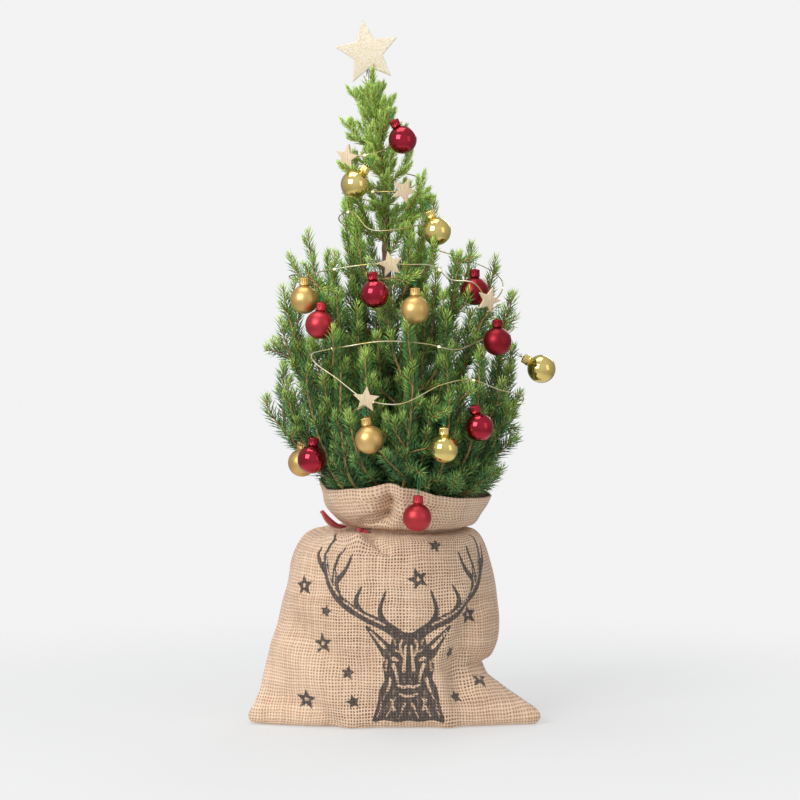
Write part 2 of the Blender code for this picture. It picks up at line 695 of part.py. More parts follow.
def fixed_beads():
    """What the foliage keeps clear of: wire, baubles and their threads, stars, case, collar, trunk."""
    rows = beads_along(smooth_curve(WIRE_ROUTE, WIRE_POINTS), 0.004, WIRE_ROOM)
    for entry in BAUBLES:
        hang, up = bauble_hang(entry)
        centre = np.array(entry[1])
        rows.append([*centre, BALL_ROOM])
        rows += beads_along([hang, centre + up * CAP_TOP], 0.003, THREAD_ROOM)
        rows += beads_along([centre + up * CAP_TOP, centre + up * CAP_LOW], 0.002, CAP_ROOM)
    for centre, _, _ in WOOD_STARS:
        rows.append([*centre, WOOD_STAR_OUTER + STAR_ROOM])
    x = TOPPER_CENTRE[0]
    rows += beads_along([(x, PICK_Y, PICK_LOW), (x, PICK_Y, PICK_HIGH)], 0.003, PICK_ROOM)
    low, high = TOPPER_ROOM_HEIGHTS
    for aside in TOPPER_ROOM_ASIDE:
        line = [(x + aside, TOPPER_ROOM_Y, low), (x + aside, TOPPER_ROOM_Y, high)]
        rows += beads_along(line, 0.004, TOPPER_ROOM)
    x, y, z = CASE_CENTRE
    for aside in CASE_ROOM_ASIDE:
        line = [(x + aside, y + 0.001, z - CASE_ROOM_BELOW), (x + aside, y + 0.001, z + CASE_ROOM_ABOVE)]
        rows += beads_along(line, 0.005, CASE_ROOM)
    for level in SACK_RINGS[NECK_LEVEL - 1:]:
        for px, py, pz in sack_ring(*level):
            lift = rim_lift(px, py) if level == SACK_RINGS[-1] else 0.0
            rows.append([px, py, pz + lift, COLLAR_ROOM])
    for point, radius in TRUNK_AXIS:
        rows.append([*point, radius])
    rows += beads_along([point for point, _ in TRUNK_AXIS[2:]], 0.004, TRUNK_ROOM)
    return np.array(rows)


def leafy_radius(place, bare):
    """The foliage's radius along a shoot: bare stem, then full, then drawn to a point."""
    grow = min(1.0, max(0.0, (place - bare) / 0.22))
    fade = min(1.0, (1.0 - place) / 0.35 + 0.22)
    return STEM_RADIUS + (NEEDLE_REACH - STEM_RADIUS) * grow * fade


def make_foliage():
    """Every bough swells to its needles' reach, and stops short of whatever is beside it."""
    shoots = {name: bough_shoots(name) for name in BOUGHS}
    shoots["leader_spray"] = leader_shoots()
    fixed = fixed_beads()
    lines = {}
    for name, group in shoots.items():
        rows = []
        for path, _ in group:
            rows += beads_along(path, 0.003, 0.0)
        lines[name] = np.array(rows)[:, :3]
    for name, group in shoots.items():
        others = np.concatenate([line for other, line in lines.items() if other != name])
        first = None
        for index, (path, bare) in enumerate(group):
            radii = shoot_radii(path, bare, fixed, others)
            vertices, faces = tube(path, radii, SHOOT_SIDES)
            if first is None:
                first = finish_object(name, mesh_from(name, vertices, faces), NEEDLES)
            else:
                join_by_boolean(first, f"{name}_shoot_{index}", vertices, faces)


def room_at(point, fixed, others):
    """How far foliage may reach at a point before it meets another piece."""
    to_fixed = np.linalg.norm(fixed[:, :3] - point, axis=1) - fixed[:, 3]
    to_others = np.linalg.norm(others - point, axis=1) / 2
    return min(float(to_fixed.min()), float(to_others.min())) - 2 * GAP


def shoot_radii(path, bare, fixed, others):
    count = len(path)
    radii = []
    for index, point in enumerate(path):
        nearby = [point]
        for beside in (index - 1, index + 1):
            if 0 <= beside < count:
                for share in (0.2, 0.4, 0.6, 0.8):
                    nearby.append(point + (path[beside] - point) * share)
        room = min(room_at(spot, fixed, others) for spot in nearby)
        wanted = leafy_radius(index / (count - 1), bare)
        radii.append(max(min(wanted, room), THINNEST_SHOOT))
    return radii


# ---------------------------------------------------------------- baubles

def turned_to(up, heading_axis):
    """Rotation whose Z runs up the hanger and whose X lies along the swing's axis."""
    z = Vector(up)
    x = Vector(heading_axis)
    x = (x - z * x.dot(z)).normalized()
    y = z.cross(x)
    return Matrix((x, y, z)).transposed().to_4x4()


def wall_points(radius, angles, drop):
    """Profile points of one wall of the ball, at the given angles from its middle."""
    points = []
    for degrees in angles:
        angle = math.radians(degrees)
        reach = 0.0 if degrees == -90 else radius * math.cos(angle)
        points.append((reach, radius * math.sin(angle) - drop))
    return points


def ball_mesh(drop):
    """A thin hollow ball, open at its neck, hung a given distance below the origin."""
    inner = BALL_RADIUS - BALL_WALL
    neck = [
        (NECK_RADIUS, math.sqrt(BALL_RADIUS ** 2 - NECK_RADIUS ** 2) - drop),
        (NECK_RADIUS, math.sqrt(inner ** 2 - NECK_RADIUS ** 2) - drop),
    ]
    outer_wall = wall_points(BALL_RADIUS, OUTER_WALL_ANGLES, drop)
    inner_wall = wall_points(inner, INNER_WALL_ANGLES, drop)
    return lathe(outer_wall + neck + inner_wall, BALL_SIDES)


def cap_mesh(drop):
    """The cap's plug and sleeve, its eye, and the thread up to the twig."""
    plug = NECK_RADIUS - PLUG_CLEAR
    seat = CAP_LOW + SLEEVE_SEAT - drop
    profile = [
        (0.0, PLUG_LOW - drop),
        (plug, PLUG_LOW - drop),
        (plug, seat),
        (CAP_RADIUS, seat),
        (CAP_RADIUS, CAP_TOP - drop),
        (THREAD_RADIUS, CAP_TOP + EYE_TALL - drop),
        (THREAD_RADIUS, 0.0),
        (0.0, 0.0),
    ]
    return lathe(profile, CAP_SIDES)


def make_baubles():
    for index, entry in enumerate(BAUBLES):
        colour, _, _, drop, heading = entry
        hang, up = bauble_hang(entry)
        facing = math.radians(heading)
        axis = (math.sin(facing), -math.cos(facing), 0.0)
        number = f"{index + 1:02d}"
        for part, shape in (("ball", ball_mesh(drop)), ("cap", cap_mesh(drop))):
            name = f"bauble_{number}_{part}"
            thing = finish_object(name, mesh_from(name, *shape), BAUBLE_FINISH[colour], 50)
            thing.matrix_world = Matrix.Translation(Vector(hang)) @ turned_to(up, axis)


# ---------------------------------------------------------------- lights, stars, topper, battery case

def make_light_wire():
    points = smooth_curve(WIRE_ROUTE, WIRE_POINTS)
    curve = bpy.data.curves.new("light_wire", "CURVE")
    curve.dimensions = "3D"
    curve.bevel_depth = WIRE_RADIUS
    curve.bevel_resolution = 2
    curve.use_fill_caps = True
    spline = curve.splines.new("POLY")
    spline.points.add(len(points) - 1)
    for slot, point in zip(spline.points, points):
        slot.co = (*point, 1.0)
    wire = bpy.data.objects.new("light_wire", curve)
    bpy.context.scene.collection.objects.link(wire)
    curve.materials.append(material(*SILVER_WIRE))


def make_wood_stars():
    for index, (centre, heading, turn) in enumerate(WOOD_STARS):
        name = f"wood_star_{index + 1}"
        shape = prism(star_outline(WOOD_STAR_OUTER, WOOD_STAR_INNER), WOOD_STAR_THICK)
        star = finish_object(name, mesh_from(name, *shape), PALE_WOOD)
        facing = Matrix.Rotation(math.radians(heading + 90), 4, "Z")
        star.matrix_world = Matrix.Translation(centre) @ facing @ Matrix.Rotation(math.radians(turn), 4, "Y")


def make_topper():
    shape = prism(star_outline(TOPPER_OUTER, TOPPER_INNER), TOPPER_THICK)
    star = finish_object("topper_star", mesh_from("topper_star", *shape), GLITTER)
    x, y, z = TOPPER_CENTRE
    place = Matrix.Translation((x, y + TOPPER_THICK / 2, z))
    star.matrix_world = place @ Matrix.Rotation(math.radians(TOPPER_TURN), 4, "Y")
    path = [(x, PICK_Y, PICK_LOW), (x, PICK_Y, PICK_LOW + PICK_POINT), (x, PICK_Y, PICK_HIGH)]
    shape = tube(path, [PICK_POINT_RADIUS, PICK_RADIUS, PICK_RADIUS], 8)
    finish_object("topper_pick", mesh_from("topper_pick", *shape), STEEL, 50)


def make_battery_case():
    """A flat case with a round well for the cells, a lid that slides up in its back, and a switch."""
    x, y, z = CASE_CENTRE
    wide, deep, tall = (size / 2 for size in CASE_SIZE)
    case = finish_object(
        "battery_case",
        mesh_from("battery_case", *box((x - wide, y - deep, z - tall), (x + wide, y + deep, z + tall))),
        CASE_PLASTIC,
    )
    back = y + deep
    past = back + CUT_PAST
    track = LID_THICK + 2 * GAP
    lid_x = x + LID_OFF_MIDDLE
    lid_low = z - tall + LID_FOOT
    half = LID_WIDE / 2
    cut = box((lid_x - half, back - track, lid_low), (lid_x + half, past, z + tall + CUT_PAST))
    join_by_boolean(case, "lid_track", *cut, operation="DIFFERENCE")
    well_low = back - track - 2 * CELL_THICK - 3 * GAP
    well_radius = CELL_RADIUS + CELL_CLEAR
    well_profile = [(0.0, 0.0), (well_radius, 0.0), (well_radius, WELL_DEPTH), (0.0, WELL_DEPTH)]
    well = lathe(well_profile, CELL_SIDES)
    lay_back = Matrix.Translation((lid_x, well_low, z + CELL_RISE)) @ Matrix.Rotation(math.radians(-90), 4, "X")
    join_by_boolean(case, "cell_well", *well, operation="DIFFERENCE").matrix_world = lay_back
    slot_x = x + wide - SWITCH_FROM_EDGE
    slot = box(
        (slot_x - SLOT_HALF_WIDE, back - SLOT_DEEP, z - SLOT_HALF_TALL),
        (slot_x + SLOT_HALF_WIDE, past, z + SLOT_HALF_TALL),
    )
    join_by_boolean(case, "switch_slot", *slot, operation="DIFFERENCE")
    lid = box(
        (lid_x - half + GAP, back - LID_THICK - GAP, lid_low + GAP),
        (lid_x + half - GAP, back - GAP, z + tall),
    )
    finish_object("battery_lid", mesh_from("battery_lid", *lid), CASE_PLASTIC)
    switch_wide, switch_deep, switch_tall = SWITCH_SIZE
    foot = back - SWITCH_SUNK
    knob = box(
        (slot_x - switch_wide / 2, foot, z - SWITCH_LOW),
        (slot_x + switch_wide / 2, foot + switch_deep, z - SWITCH_LOW + switch_tall),
    )
    finish_object("battery_switch", mesh_from("battery_switch", *knob), SWITCH_PLASTIC)
    for index in range(2):
        low = GAP + index * (CELL_THICK + GAP)
        high = low + CELL_THICK
        cell = lathe([(0.0, low), (CELL_RADIUS, low), (CELL_RADIUS, high), (0.0, high)], CELL_SIDES)
        name = f"coin_cell_{index + 1}"
        finish_object(name, mesh_from(name, *cell), STEEL, 40).matrix_world = lay_back


def main():
    clear_scene()
    make_sack()
    make_ribbon()
    make_pot()
    make_weight()
    make_trunk()
    make_foliage()
    make_baubles()
    make_light_wire()
    make_wood_stars()
    make_topper()
    make_battery_case()


main()
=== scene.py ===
"""Looks of the tabletop tree in its tied jute sack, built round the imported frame."""
import json
import math

import bmesh
import bpy
import numpy as np
from mathutils import Matrix, Vector


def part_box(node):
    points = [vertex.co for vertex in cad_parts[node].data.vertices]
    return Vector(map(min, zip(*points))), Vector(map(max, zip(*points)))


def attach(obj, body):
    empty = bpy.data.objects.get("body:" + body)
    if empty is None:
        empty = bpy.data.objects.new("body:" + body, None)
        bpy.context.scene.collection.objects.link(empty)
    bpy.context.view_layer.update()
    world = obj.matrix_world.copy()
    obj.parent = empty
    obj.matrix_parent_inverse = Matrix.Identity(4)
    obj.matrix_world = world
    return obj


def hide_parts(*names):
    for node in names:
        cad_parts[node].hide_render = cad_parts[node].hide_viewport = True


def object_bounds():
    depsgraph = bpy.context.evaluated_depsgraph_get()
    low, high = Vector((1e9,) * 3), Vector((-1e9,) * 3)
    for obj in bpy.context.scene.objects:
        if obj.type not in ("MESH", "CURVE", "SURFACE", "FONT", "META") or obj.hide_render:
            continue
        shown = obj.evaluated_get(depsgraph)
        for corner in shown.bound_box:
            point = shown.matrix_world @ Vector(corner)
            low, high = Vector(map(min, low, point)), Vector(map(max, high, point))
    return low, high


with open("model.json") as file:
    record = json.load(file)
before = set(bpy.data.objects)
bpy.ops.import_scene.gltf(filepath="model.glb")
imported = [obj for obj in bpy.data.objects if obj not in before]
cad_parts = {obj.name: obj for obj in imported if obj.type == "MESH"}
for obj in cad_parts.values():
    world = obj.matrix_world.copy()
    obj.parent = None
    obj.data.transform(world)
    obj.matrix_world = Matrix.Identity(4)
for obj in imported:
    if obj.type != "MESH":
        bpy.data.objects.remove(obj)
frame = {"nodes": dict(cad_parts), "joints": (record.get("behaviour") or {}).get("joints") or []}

CAD_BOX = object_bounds()
JOINTS = {joint["name"]: joint for joint in frame["joints"]}
UP = np.array([0.0, 0.0, 1.0])
random = np.random.default_rng(2417)

# ---------------------------------------------------------------- small helpers

def linked(name, data):
    made = bpy.data.objects.new(name, data)
    bpy.context.scene.collection.objects.link(made)
    return made


class Nodes:
    """A node tree being put together."""

    def __init__(self, tree):
        self.tree = tree

    def node(self, kind, values=None, **settings):
        """A new node, its inputs given as plain values or as other nodes' outputs."""
        made = self.tree.nodes.new("ShaderNode" + kind)
        for key, value in settings.items():
            setattr(made, key, value)
        for key, value in (values or {}).items():
            if isinstance(value, bpy.types.NodeSocket):
                self.tree.links.new(value, made.inputs[key])
            else:
                made.inputs[key].default_value = value
        return made

    def math(self, operation, *values):
        return self.node("Math", dict(enumerate(values)), operation=operation).outputs[0]


class Look(Nodes):
    """A surface's material."""

    def __init__(self, name, roughness=0.6, metallic=0.0):
        self.material = bpy.data.materials.new(name)
        self.material.use_nodes = True
        super().__init__(self.material.node_tree)
        self.shader = self.tree.nodes["Principled BSDF"]
        self.set("Roughness", roughness)
        self.set("Metallic", metallic)

    def set(self, socket, value):
        self.shader.inputs[socket].default_value = value

    def feed(self, socket, output):
        self.tree.links.new(output, self.shader.inputs[socket])

    def product(self, first, *others):
        for other in others:
            first = self.math("MULTIPLY", first, other)
        return first

    def spread(self, value, low, high, to_low=0.0, to_high=1.0, smooth=True):
        kind = "SMOOTHSTEP" if smooth else "LINEAR"
        values = {"Value": value, "From Min": low, "From Max": high, "To Min": to_low, "To Max": to_high}
        return self.node("MapRange", values, interpolation_type=kind).outputs["Result"]

    def stretched(self, vector, scale, turn=0.0):
        values = {"Vector": vector, "Scale": scale, "Rotation": (0.0, 0.0, turn)}
        return self.node("Mapping", values).outputs["Vector"]

    def place(self, scale=(1.0, 1.0, 1.0)):
        return self.stretched(self.node("TexCoord").outputs["Object"], scale)

    def noise(self, scale, detail=3.0, vector=None, roughness=0.5, output="Fac"):
        values = {"Scale": scale, "Detail": detail, "Roughness": roughness}
        values["Vector"] = vector if vector is not None else self.place()
        return self.node("TexNoise", values).outputs[output]

    def chance(self, x, y):
        """A fixed random value for each pair of numbers."""
        place = self.node("CombineXYZ", {"X": x, "Y": y, "Z": 0.5}).outputs[0]
        return self.node("TexWhiteNoise", {"Vector": place}).outputs["Value"]

    def attribute(self, name):
        return self.node("Attribute", attribute_name=name).outputs["Fac"]

    def ramp(self, value, stops):
        made = self.node("ValToRGB", {"Fac": value})
        elements = made.color_ramp.elements
        while len(elements) < len(stops):
            elements.new(0.5)
        for element, (position, colour) in zip(elements, stops):
            element.position = position
            element.color = (*colour, 1.0)
        return made.outputs["Color"]

    def mix(self, share, first, second, blend="MIX"):
        values = {0: share}
        for socket, value in ((6, first), (7, second)):
            values[socket] = value if isinstance(value, bpy.types.NodeSocket) else (*value, 1.0)
        return self.node("Mix", values, data_type="RGBA", blend_type=blend).outputs[2]

    def bump(self, height, depth, strength=1.0):
        made = self.node("Bump", {"Height": height, "Distance": depth, "Strength": strength})
        self.feed("Normal", made.outputs["Normal"])


def array_object(name, vertices, triangles, looks, slots=None):
    """An object from plain arrays: points, triangles and a material number for each triangle."""
    mesh = bpy.data.meshes.new(name)
    mesh.vertices.add(len(vertices))
    mesh.vertices.foreach_set("co", np.asarray(vertices, np.float32).ravel())
    mesh.loops.add(3 * len(triangles))
    mesh.loops.foreach_set("vertex_index", np.asarray(triangles, np.int32).ravel())
    mesh.polygons.add(len(triangles))
    mesh.polygons.foreach_set("loop_start", np.arange(0, 3 * len(triangles), 3, dtype=np.int32))
    if slots is not None:
        mesh.polygons.foreach_set("material_index", np.asarray(slots, np.int32))
    mesh.update(calc_edges=True)
    mesh.validate()
    for look in looks:
        mesh.materials.append(look)
    mesh.shade_smooth()
    return linked(name, mesh)


def write_values(piece, name, values):
    field = piece.data.attributes.new(name, "FLOAT", "POINT")
    field.data.foreach_set("value", values.astype(np.float32))


class Parts:
    """Meshes gathered into one object, each with its material's number."""

    def __init__(self):
        self.points, self.triangles, self.slots, self.count = [], [], [], 0

    def add(self, mesh, slot=0):
        points, triangles = mesh
        self.points.append(points)
        self.triangles.append(np.asarray(triangles) + self.count)
        self.slots.append(np.full(len(triangles), slot))
        self.count += len(points)

    def joined(self, name, looks):
        points, triangles, slots = map(np.concatenate, (self.points, self.triangles, self.slots))
        return array_object(name, points, triangles, looks, slots)


def smooth_curve(points, count):
    """Points at even steps along a centripetal Catmull-Rom curve through the given points."""
    given = [np.array(p, float) for p in points]
    given = [2 * given[0] - given[1]] + given + [2 * given[-1] - given[-2]]
    dense = []
    for a, b, c, d in zip(given, given[1:], given[2:], given[3:]):
        knots = [0.0]
        for start, end in ((a, b), (b, c), (c, d)):
            knots.append(knots[-1] + math.sqrt(float(np.linalg.norm(end - start))))
        t0, t1, t2, t3 = knots
        for t in np.linspace(t1, t2, 24, endpoint=False):
            ab = a * (t1 - t) / (t1 - t0) + b * (t - t0) / (t1 - t0)
            bc = b * (t2 - t) / (t2 - t1) + c * (t - t1) / (t2 - t1)
            cd = c * (t3 - t) / (t3 - t2) + d * (t - t2) / (t3 - t2)
            abc = ab * (t2 - t) / (t2 - t0) + bc * (t - t0) / (t2 - t0)
            bcd = bc * (t3 - t) / (t3 - t1) + cd * (t - t1) / (t3 - t1)
            dense.append(abc * (t2 - t) / (t2 - t1) + bcd * (t - t1) / (t2 - t1))
    dense.append(given[-2])
    return resample(np.array(dense), count)


def run_lengths(points):
    """How far along a path each of its points lies."""
    return np.concatenate([[0.0], np.cumsum(np.linalg.norm(np.diff(points, axis=0), axis=1))])


def at_places(columns, along, wanted):
    """Values at the wanted places, between those at the places in along."""
    return np.column_stack([np.interp(wanted, along, column) for column in columns.T])


def resample(points, count):
    points = np.asarray(points, float)
    along = run_lengths(points)
    return at_places(points, along, np.linspace(0.0, along[-1], count))


def point_along(points, share):
    along = run_lengths(points)
    return at_places(points, along, share * along[-1])[0]


def path_length(points):
    return float(np.linalg.norm(np.diff(points, axis=0), axis=1).sum())


def bent_curve(start, bend, tip, count):
    """Points on a curve that sets out towards bend and ends at tip."""
    steps = np.linspace(0.0, 1.0, count)[:, None]
    return start * (1 - steps) ** 2 + bend * 2 * steps * (1 - steps) + tip * steps ** 2


def unit(vectors):
    """One vector, or each row of several, at length one."""
    return vectors / np.linalg.norm(vectors, axis=-1, keepdims=True)


def circle(turns, side, other):
    return np.cos(turns)[:, None] * side + np.sin(turns)[:, None] * other


def lattice(rows, sides, first=0):
    """Triangles between rings of points that follow each other."""
    triangles = []
    for low in range(first, first + (rows - 1) * sides, sides):
        high = low + sides
        for step in range(sides):
            after = (step + 1) % sides
            triangles.append((low + step, low + after, high + after))
            triangles.append((low + step, high + after, high + step))
    return triangles


def end_caps(rows, sides):
    """Triangles that close the first ring and the last one."""
    triangles = []
    last = (rows - 1) * sides
    for step in range(1, sides - 1):
        triangles.append((0, step + 1, step))
        triangles.append((last, last + step, last + step + 1))
    return triangles


def tube_mesh(path, radii, sides):
    """Points and triangles of a tapering stick along a path."""
    path = np.asarray(path, float)
    ahead = unit(np.gradient(path, axis=0))
    side = unit(np.cross(ahead[0], UP) + np.array([1e-4, 2e-4, 0.0]))
    turns = 2 * np.pi * np.arange(sides) / sides
    rings = []
    for point, forward, radius in zip(path, ahead, radii):
        side = unit(side - forward * side.dot(forward))
        rings.append(point + radius * circle(turns, side, np.cross(forward, side)))
    return np.concatenate(rings), np.array(lattice(len(path), sides) + end_caps(len(path), sides))


def node_centre(name):
    low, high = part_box(name)
    return (np.array(low) + np.array(high)) / 2


# ---------------------------------------------------------------- camera, light, floor

CAMERA_AIM = Vector((0.0046, 0.0, 0.2945))
CAMERA_DISTANCE = 3.0
CAMERA_RISE = math.radians(4.0)
CAMERA_LENS = 146.0
LIGHT_AIM = Vector((0.0, 0.0, 0.3))
# Name, place, width and height, watts
LIGHTS = [
    ("key", (-1.35, -1.7, 1.35), (1.3, 1.3), 36.0),
    ("fill", (1.7, -1.3, 0.8), (0.9, 1.4), 2.5),
    ("top", (-0.3, 0.1, 2.1), (1.2, 1.2), 13.0),
    ("back", (0.8, 1.9, 1.2), (0.9, 0.9), 7.0),
]
FLOOR_RADIUS = 2.2
FLOOR_DROP = 0.0004
# Distances from the middle between which the floor fades out
FLOOR_FADE = (0.22, 0.75)


def make_camera():
    data = bpy.data.cameras.new("camera")
    data.lens = CAMERA_LENS
    data.sensor_width = 36.0
    camera = linked("camera", data)
    back = Vector((0.0, -math.cos(CAMERA_RISE), math.sin(CAMERA_RISE)))
    camera.location = CAMERA_AIM + back * CAMERA_DISTANCE
    camera.rotation_euler = (-back).to_track_quat("-Z", "Y").to_euler()
    bpy.context.scene.camera = camera


def make_lights():
    for name, place, size, watts in LIGHTS:
        data = bpy.data.lights.new(name, "AREA")
        data.shape = "RECTANGLE"
        data.size, data.size_y = size
        data.energy = watts
        light = linked(name, data)
        light.location = place
        light.rotation_euler = (LIGHT_AIM - Vector(place)).to_track_quat("-Z", "Y").to_euler()


def make_world():
    """A pale surround for the camera, and a dimmer one as light, strongest in front and above."""
    world = bpy.data.worlds.new("studio")
    bpy.context.scene.world = world
    world.use_nodes = True
    world.node_tree.nodes.clear()
    sky = Nodes(world.node_tree)
    heading = sky.node("SeparateXYZ", {0: sky.node("TexCoord").outputs["Generated"]}).outputs
    front = sky.math("MULTIPLY_ADD", heading["Y"], -0.20, 0.47)
    strength = sky.math("MULTIPLY_ADD", heading["Z"], 0.16, front)
    lit = sky.node("Background", {"Color": (0.96, 0.98, 1.0, 1.0), "Strength": strength}).outputs[0]
    seen = sky.node("Background", {"Color": (0.893, 0.893, 0.893, 1.0)}).outputs[0]
    by_camera = sky.node("LightPath").outputs["Is Camera Ray"]
    mix = sky.node("MixShader", {0: by_camera, 1: lit, 2: seen}).outputs[0]
    sky.node("OutputWorld", {"Surface": mix})


def make_floor():
    """A pale disc that fades out into the surround."""
    bpy.ops.mesh.primitive_circle_add(
        vertices=96, radius=FLOOR_RADIUS, fill_type="NGON", location=(0, 0, -FLOOR_DROP))
    floor = bpy.context.object
    floor.name = "floor"
    look = Look("floor_paper", roughness=0.75)
    look.set("Base Color", (0.34, 0.34, 0.34, 1.0))
    look.set("Emission Color", (1.0, 1.0, 1.0, 1.0))
    look.set("Emission Strength", 0.42)
    place = look.node("TexCoord").outputs["Object"]
    length = look.node("VectorMath", {0: place}, operation="LENGTH").outputs["Value"]
    clear = look.node("BsdfTransparent").outputs[0]
    mix = look.node("MixShader", {0: look.spread(length, *FLOOR_FADE), 1: look.shader.outputs[0], 2: clear})
    look.tree.links.new(mix.outputs[0], look.tree.nodes["Material Output"].inputs["Surface"])
    floor.data.materials.append(look.material)


def make_studio():
    make_camera()
    make_world()
    make_floor()
    bpy.context.scene.view_settings.view_transform = "Standard"
    make_lights()


# ---------------------------------------------------------------- light wire

WIRE_DIAMETER = 0.0012
WIRE_ROUTE = [
    (0.0240, 0.0500, 0.2240), (0.0260, 0.0560, 0.2340), (0.0640, 0.0760, 0.2560), (0.1060, 0.0400, 0.2780),
    (0.1180, -0.0120, 0.2980), (0.0940, -0.0560, 0.3080), (0.0690, -0.0700, 0.3175),
    (0.0420, -0.0830, 0.3140), (0.0050, -0.0930, 0.2975), (-0.0258, -0.0890, 0.3013),
    (-0.0530, -0.0790, 0.3200), (-0.0730, -0.0690, 0.3340), (-0.0760, -0.0640, 0.3400),
    (-0.0660, -0.0720, 0.3440), (-0.0460, -0.0800, 0.3480), (-0.0090, -0.0890, 0.3535),
    (0.0280, -0.0860, 0.3510), (0.0550, -0.0720, 0.3450), (0.0800, -0.0480, 0.3530),
    (0.1030, -0.0100, 0.3560), (0.1080, 0.0440, 0.3640), (0.0560, 0.0840, 0.3740),
    (-0.0080, 0.0900, 0.3840), (-0.0720, 0.0640, 0.3960), (-0.0980, 0.0140, 0.4080),
    (-0.0700, -0.0400, 0.4140), (-0.0240, -0.0640, 0.4215), (0.0120, -0.0670, 0.4215),
    (0.0350, -0.0620, 0.4200), (0.0500, -0.0590, 0.4080), (0.0710, -0.0630, 0.4050),
    (0.0850, -0.0570, 0.3885), (0.0990, -0.0180, 0.3990), (0.0900, 0.0340, 0.4130),
    (0.0440, 0.0700, 0.4300), (-0.0180, 0.0680, 0.4440), (-0.0480, 0.0340, 0.4560),
    (-0.0490, -0.0180, 0.4660), (-0.0370, -0.0380, 0.4677), (-0.0230, -0.0450, 0.4530),
    (0.0040, -0.0440, 0.4530), (0.0360, -0.0100, 0.4620), (0.0240, 0.0360, 0.4700),
    (-0.0280, 0.0400, 0.4790), (-0.0480, -0.0020, 0.4860), (-0.0180, -0.0290, 0.4870),
    (0.0080, -0.0320, 0.4880), (0.0220, -0.0020, 0.4990), (-0.0080, 0.0300, 0.5070),
    (-0.0440, 0.0100, 0.5150), (-0.0420, -0.0160, 0.5180), (-0.0180, -0.0260, 0.5220),
    (0.0010, -0.0080, 0.5300),
]
WIRE_POINTS = 520
FIRST_BEAD = 0.16
BEAD_SPACING = 0.100
BEAD_RADIUS = 0.0013
BEAD_HALF_LENGTH = 0.0020
# Places along a bead and its widths there, as shares of its half length and radius
BEAD_PROFILE = [(-1.0, 0.25), (-0.7, 0.8), (-0.2, 1.0), (0.3, 0.85), (0.75, 0.5), (1.0, 0.2)]


def make_light_wire():
    points = smooth_curve(WIRE_ROUTE, WIRE_POINTS)
    curve = bpy.data.curves.new("wire_lights", "CURVE")
    curve.dimensions = "3D"
    curve.bevel_depth = WIRE_DIAMETER / 2
    curve.bevel_resolution = 2
    curve.use_fill_caps = True
    spline = curve.splines.new("POLY")
    spline.points.add(len(points) - 1)
    for slot, point in zip(spline.points, points):
        slot.co = (*point, 1.0)
    curve.materials.append(wire_look())
    return linked("wire_lights", curve), points


def wire_look():
    look = Look("wire_look", roughness=0.42, metallic=1.0)
    tone = look.noise(60.0, 2.0)
    look.feed("Base Color", look.ramp(tone, [(0.40, (0.56, 0.46, 0.16)), (0.62, (0.70, 0.66, 0.50))]))
    return look.material


def bead_look():
    look = Look("bead_look", roughness=0.15)
    tone = look.noise(900.0, 1.0)
    look.feed("Base Color", look.ramp(tone, [(0.3, (0.80, 0.72, 0.50)), (0.7, (0.98, 0.95, 0.80))]))
    look.set("Emission Color", (1.0, 0.85, 0.5, 1.0))
    look.set("Emission Strength", 0.6)
    look.set("Coat Weight", 0.6)
    return look.material


def make_beads(points):
    """Drop-shaped light beads along the wire, joined in one piece."""
    along = run_lengths(points)
    beads = Parts()
    for place in np.arange(FIRST_BEAD, along[-1], BEAD_SPACING):
        centre, nearby = at_places(points, along, [place, place + BEAD_HALF_LENGTH])
        ahead = unit(nearby - centre)
        path = [centre + ahead * BEAD_HALF_LENGTH * step for step, _ in BEAD_PROFILE]
        beads.add(tube_mesh(path, [BEAD_RADIUS * width for _, width in BEAD_PROFILE], 10))
    return beads.joined("light_beads", [bead_look()])


# ---------------------------------------------------------------- trunk and foliage

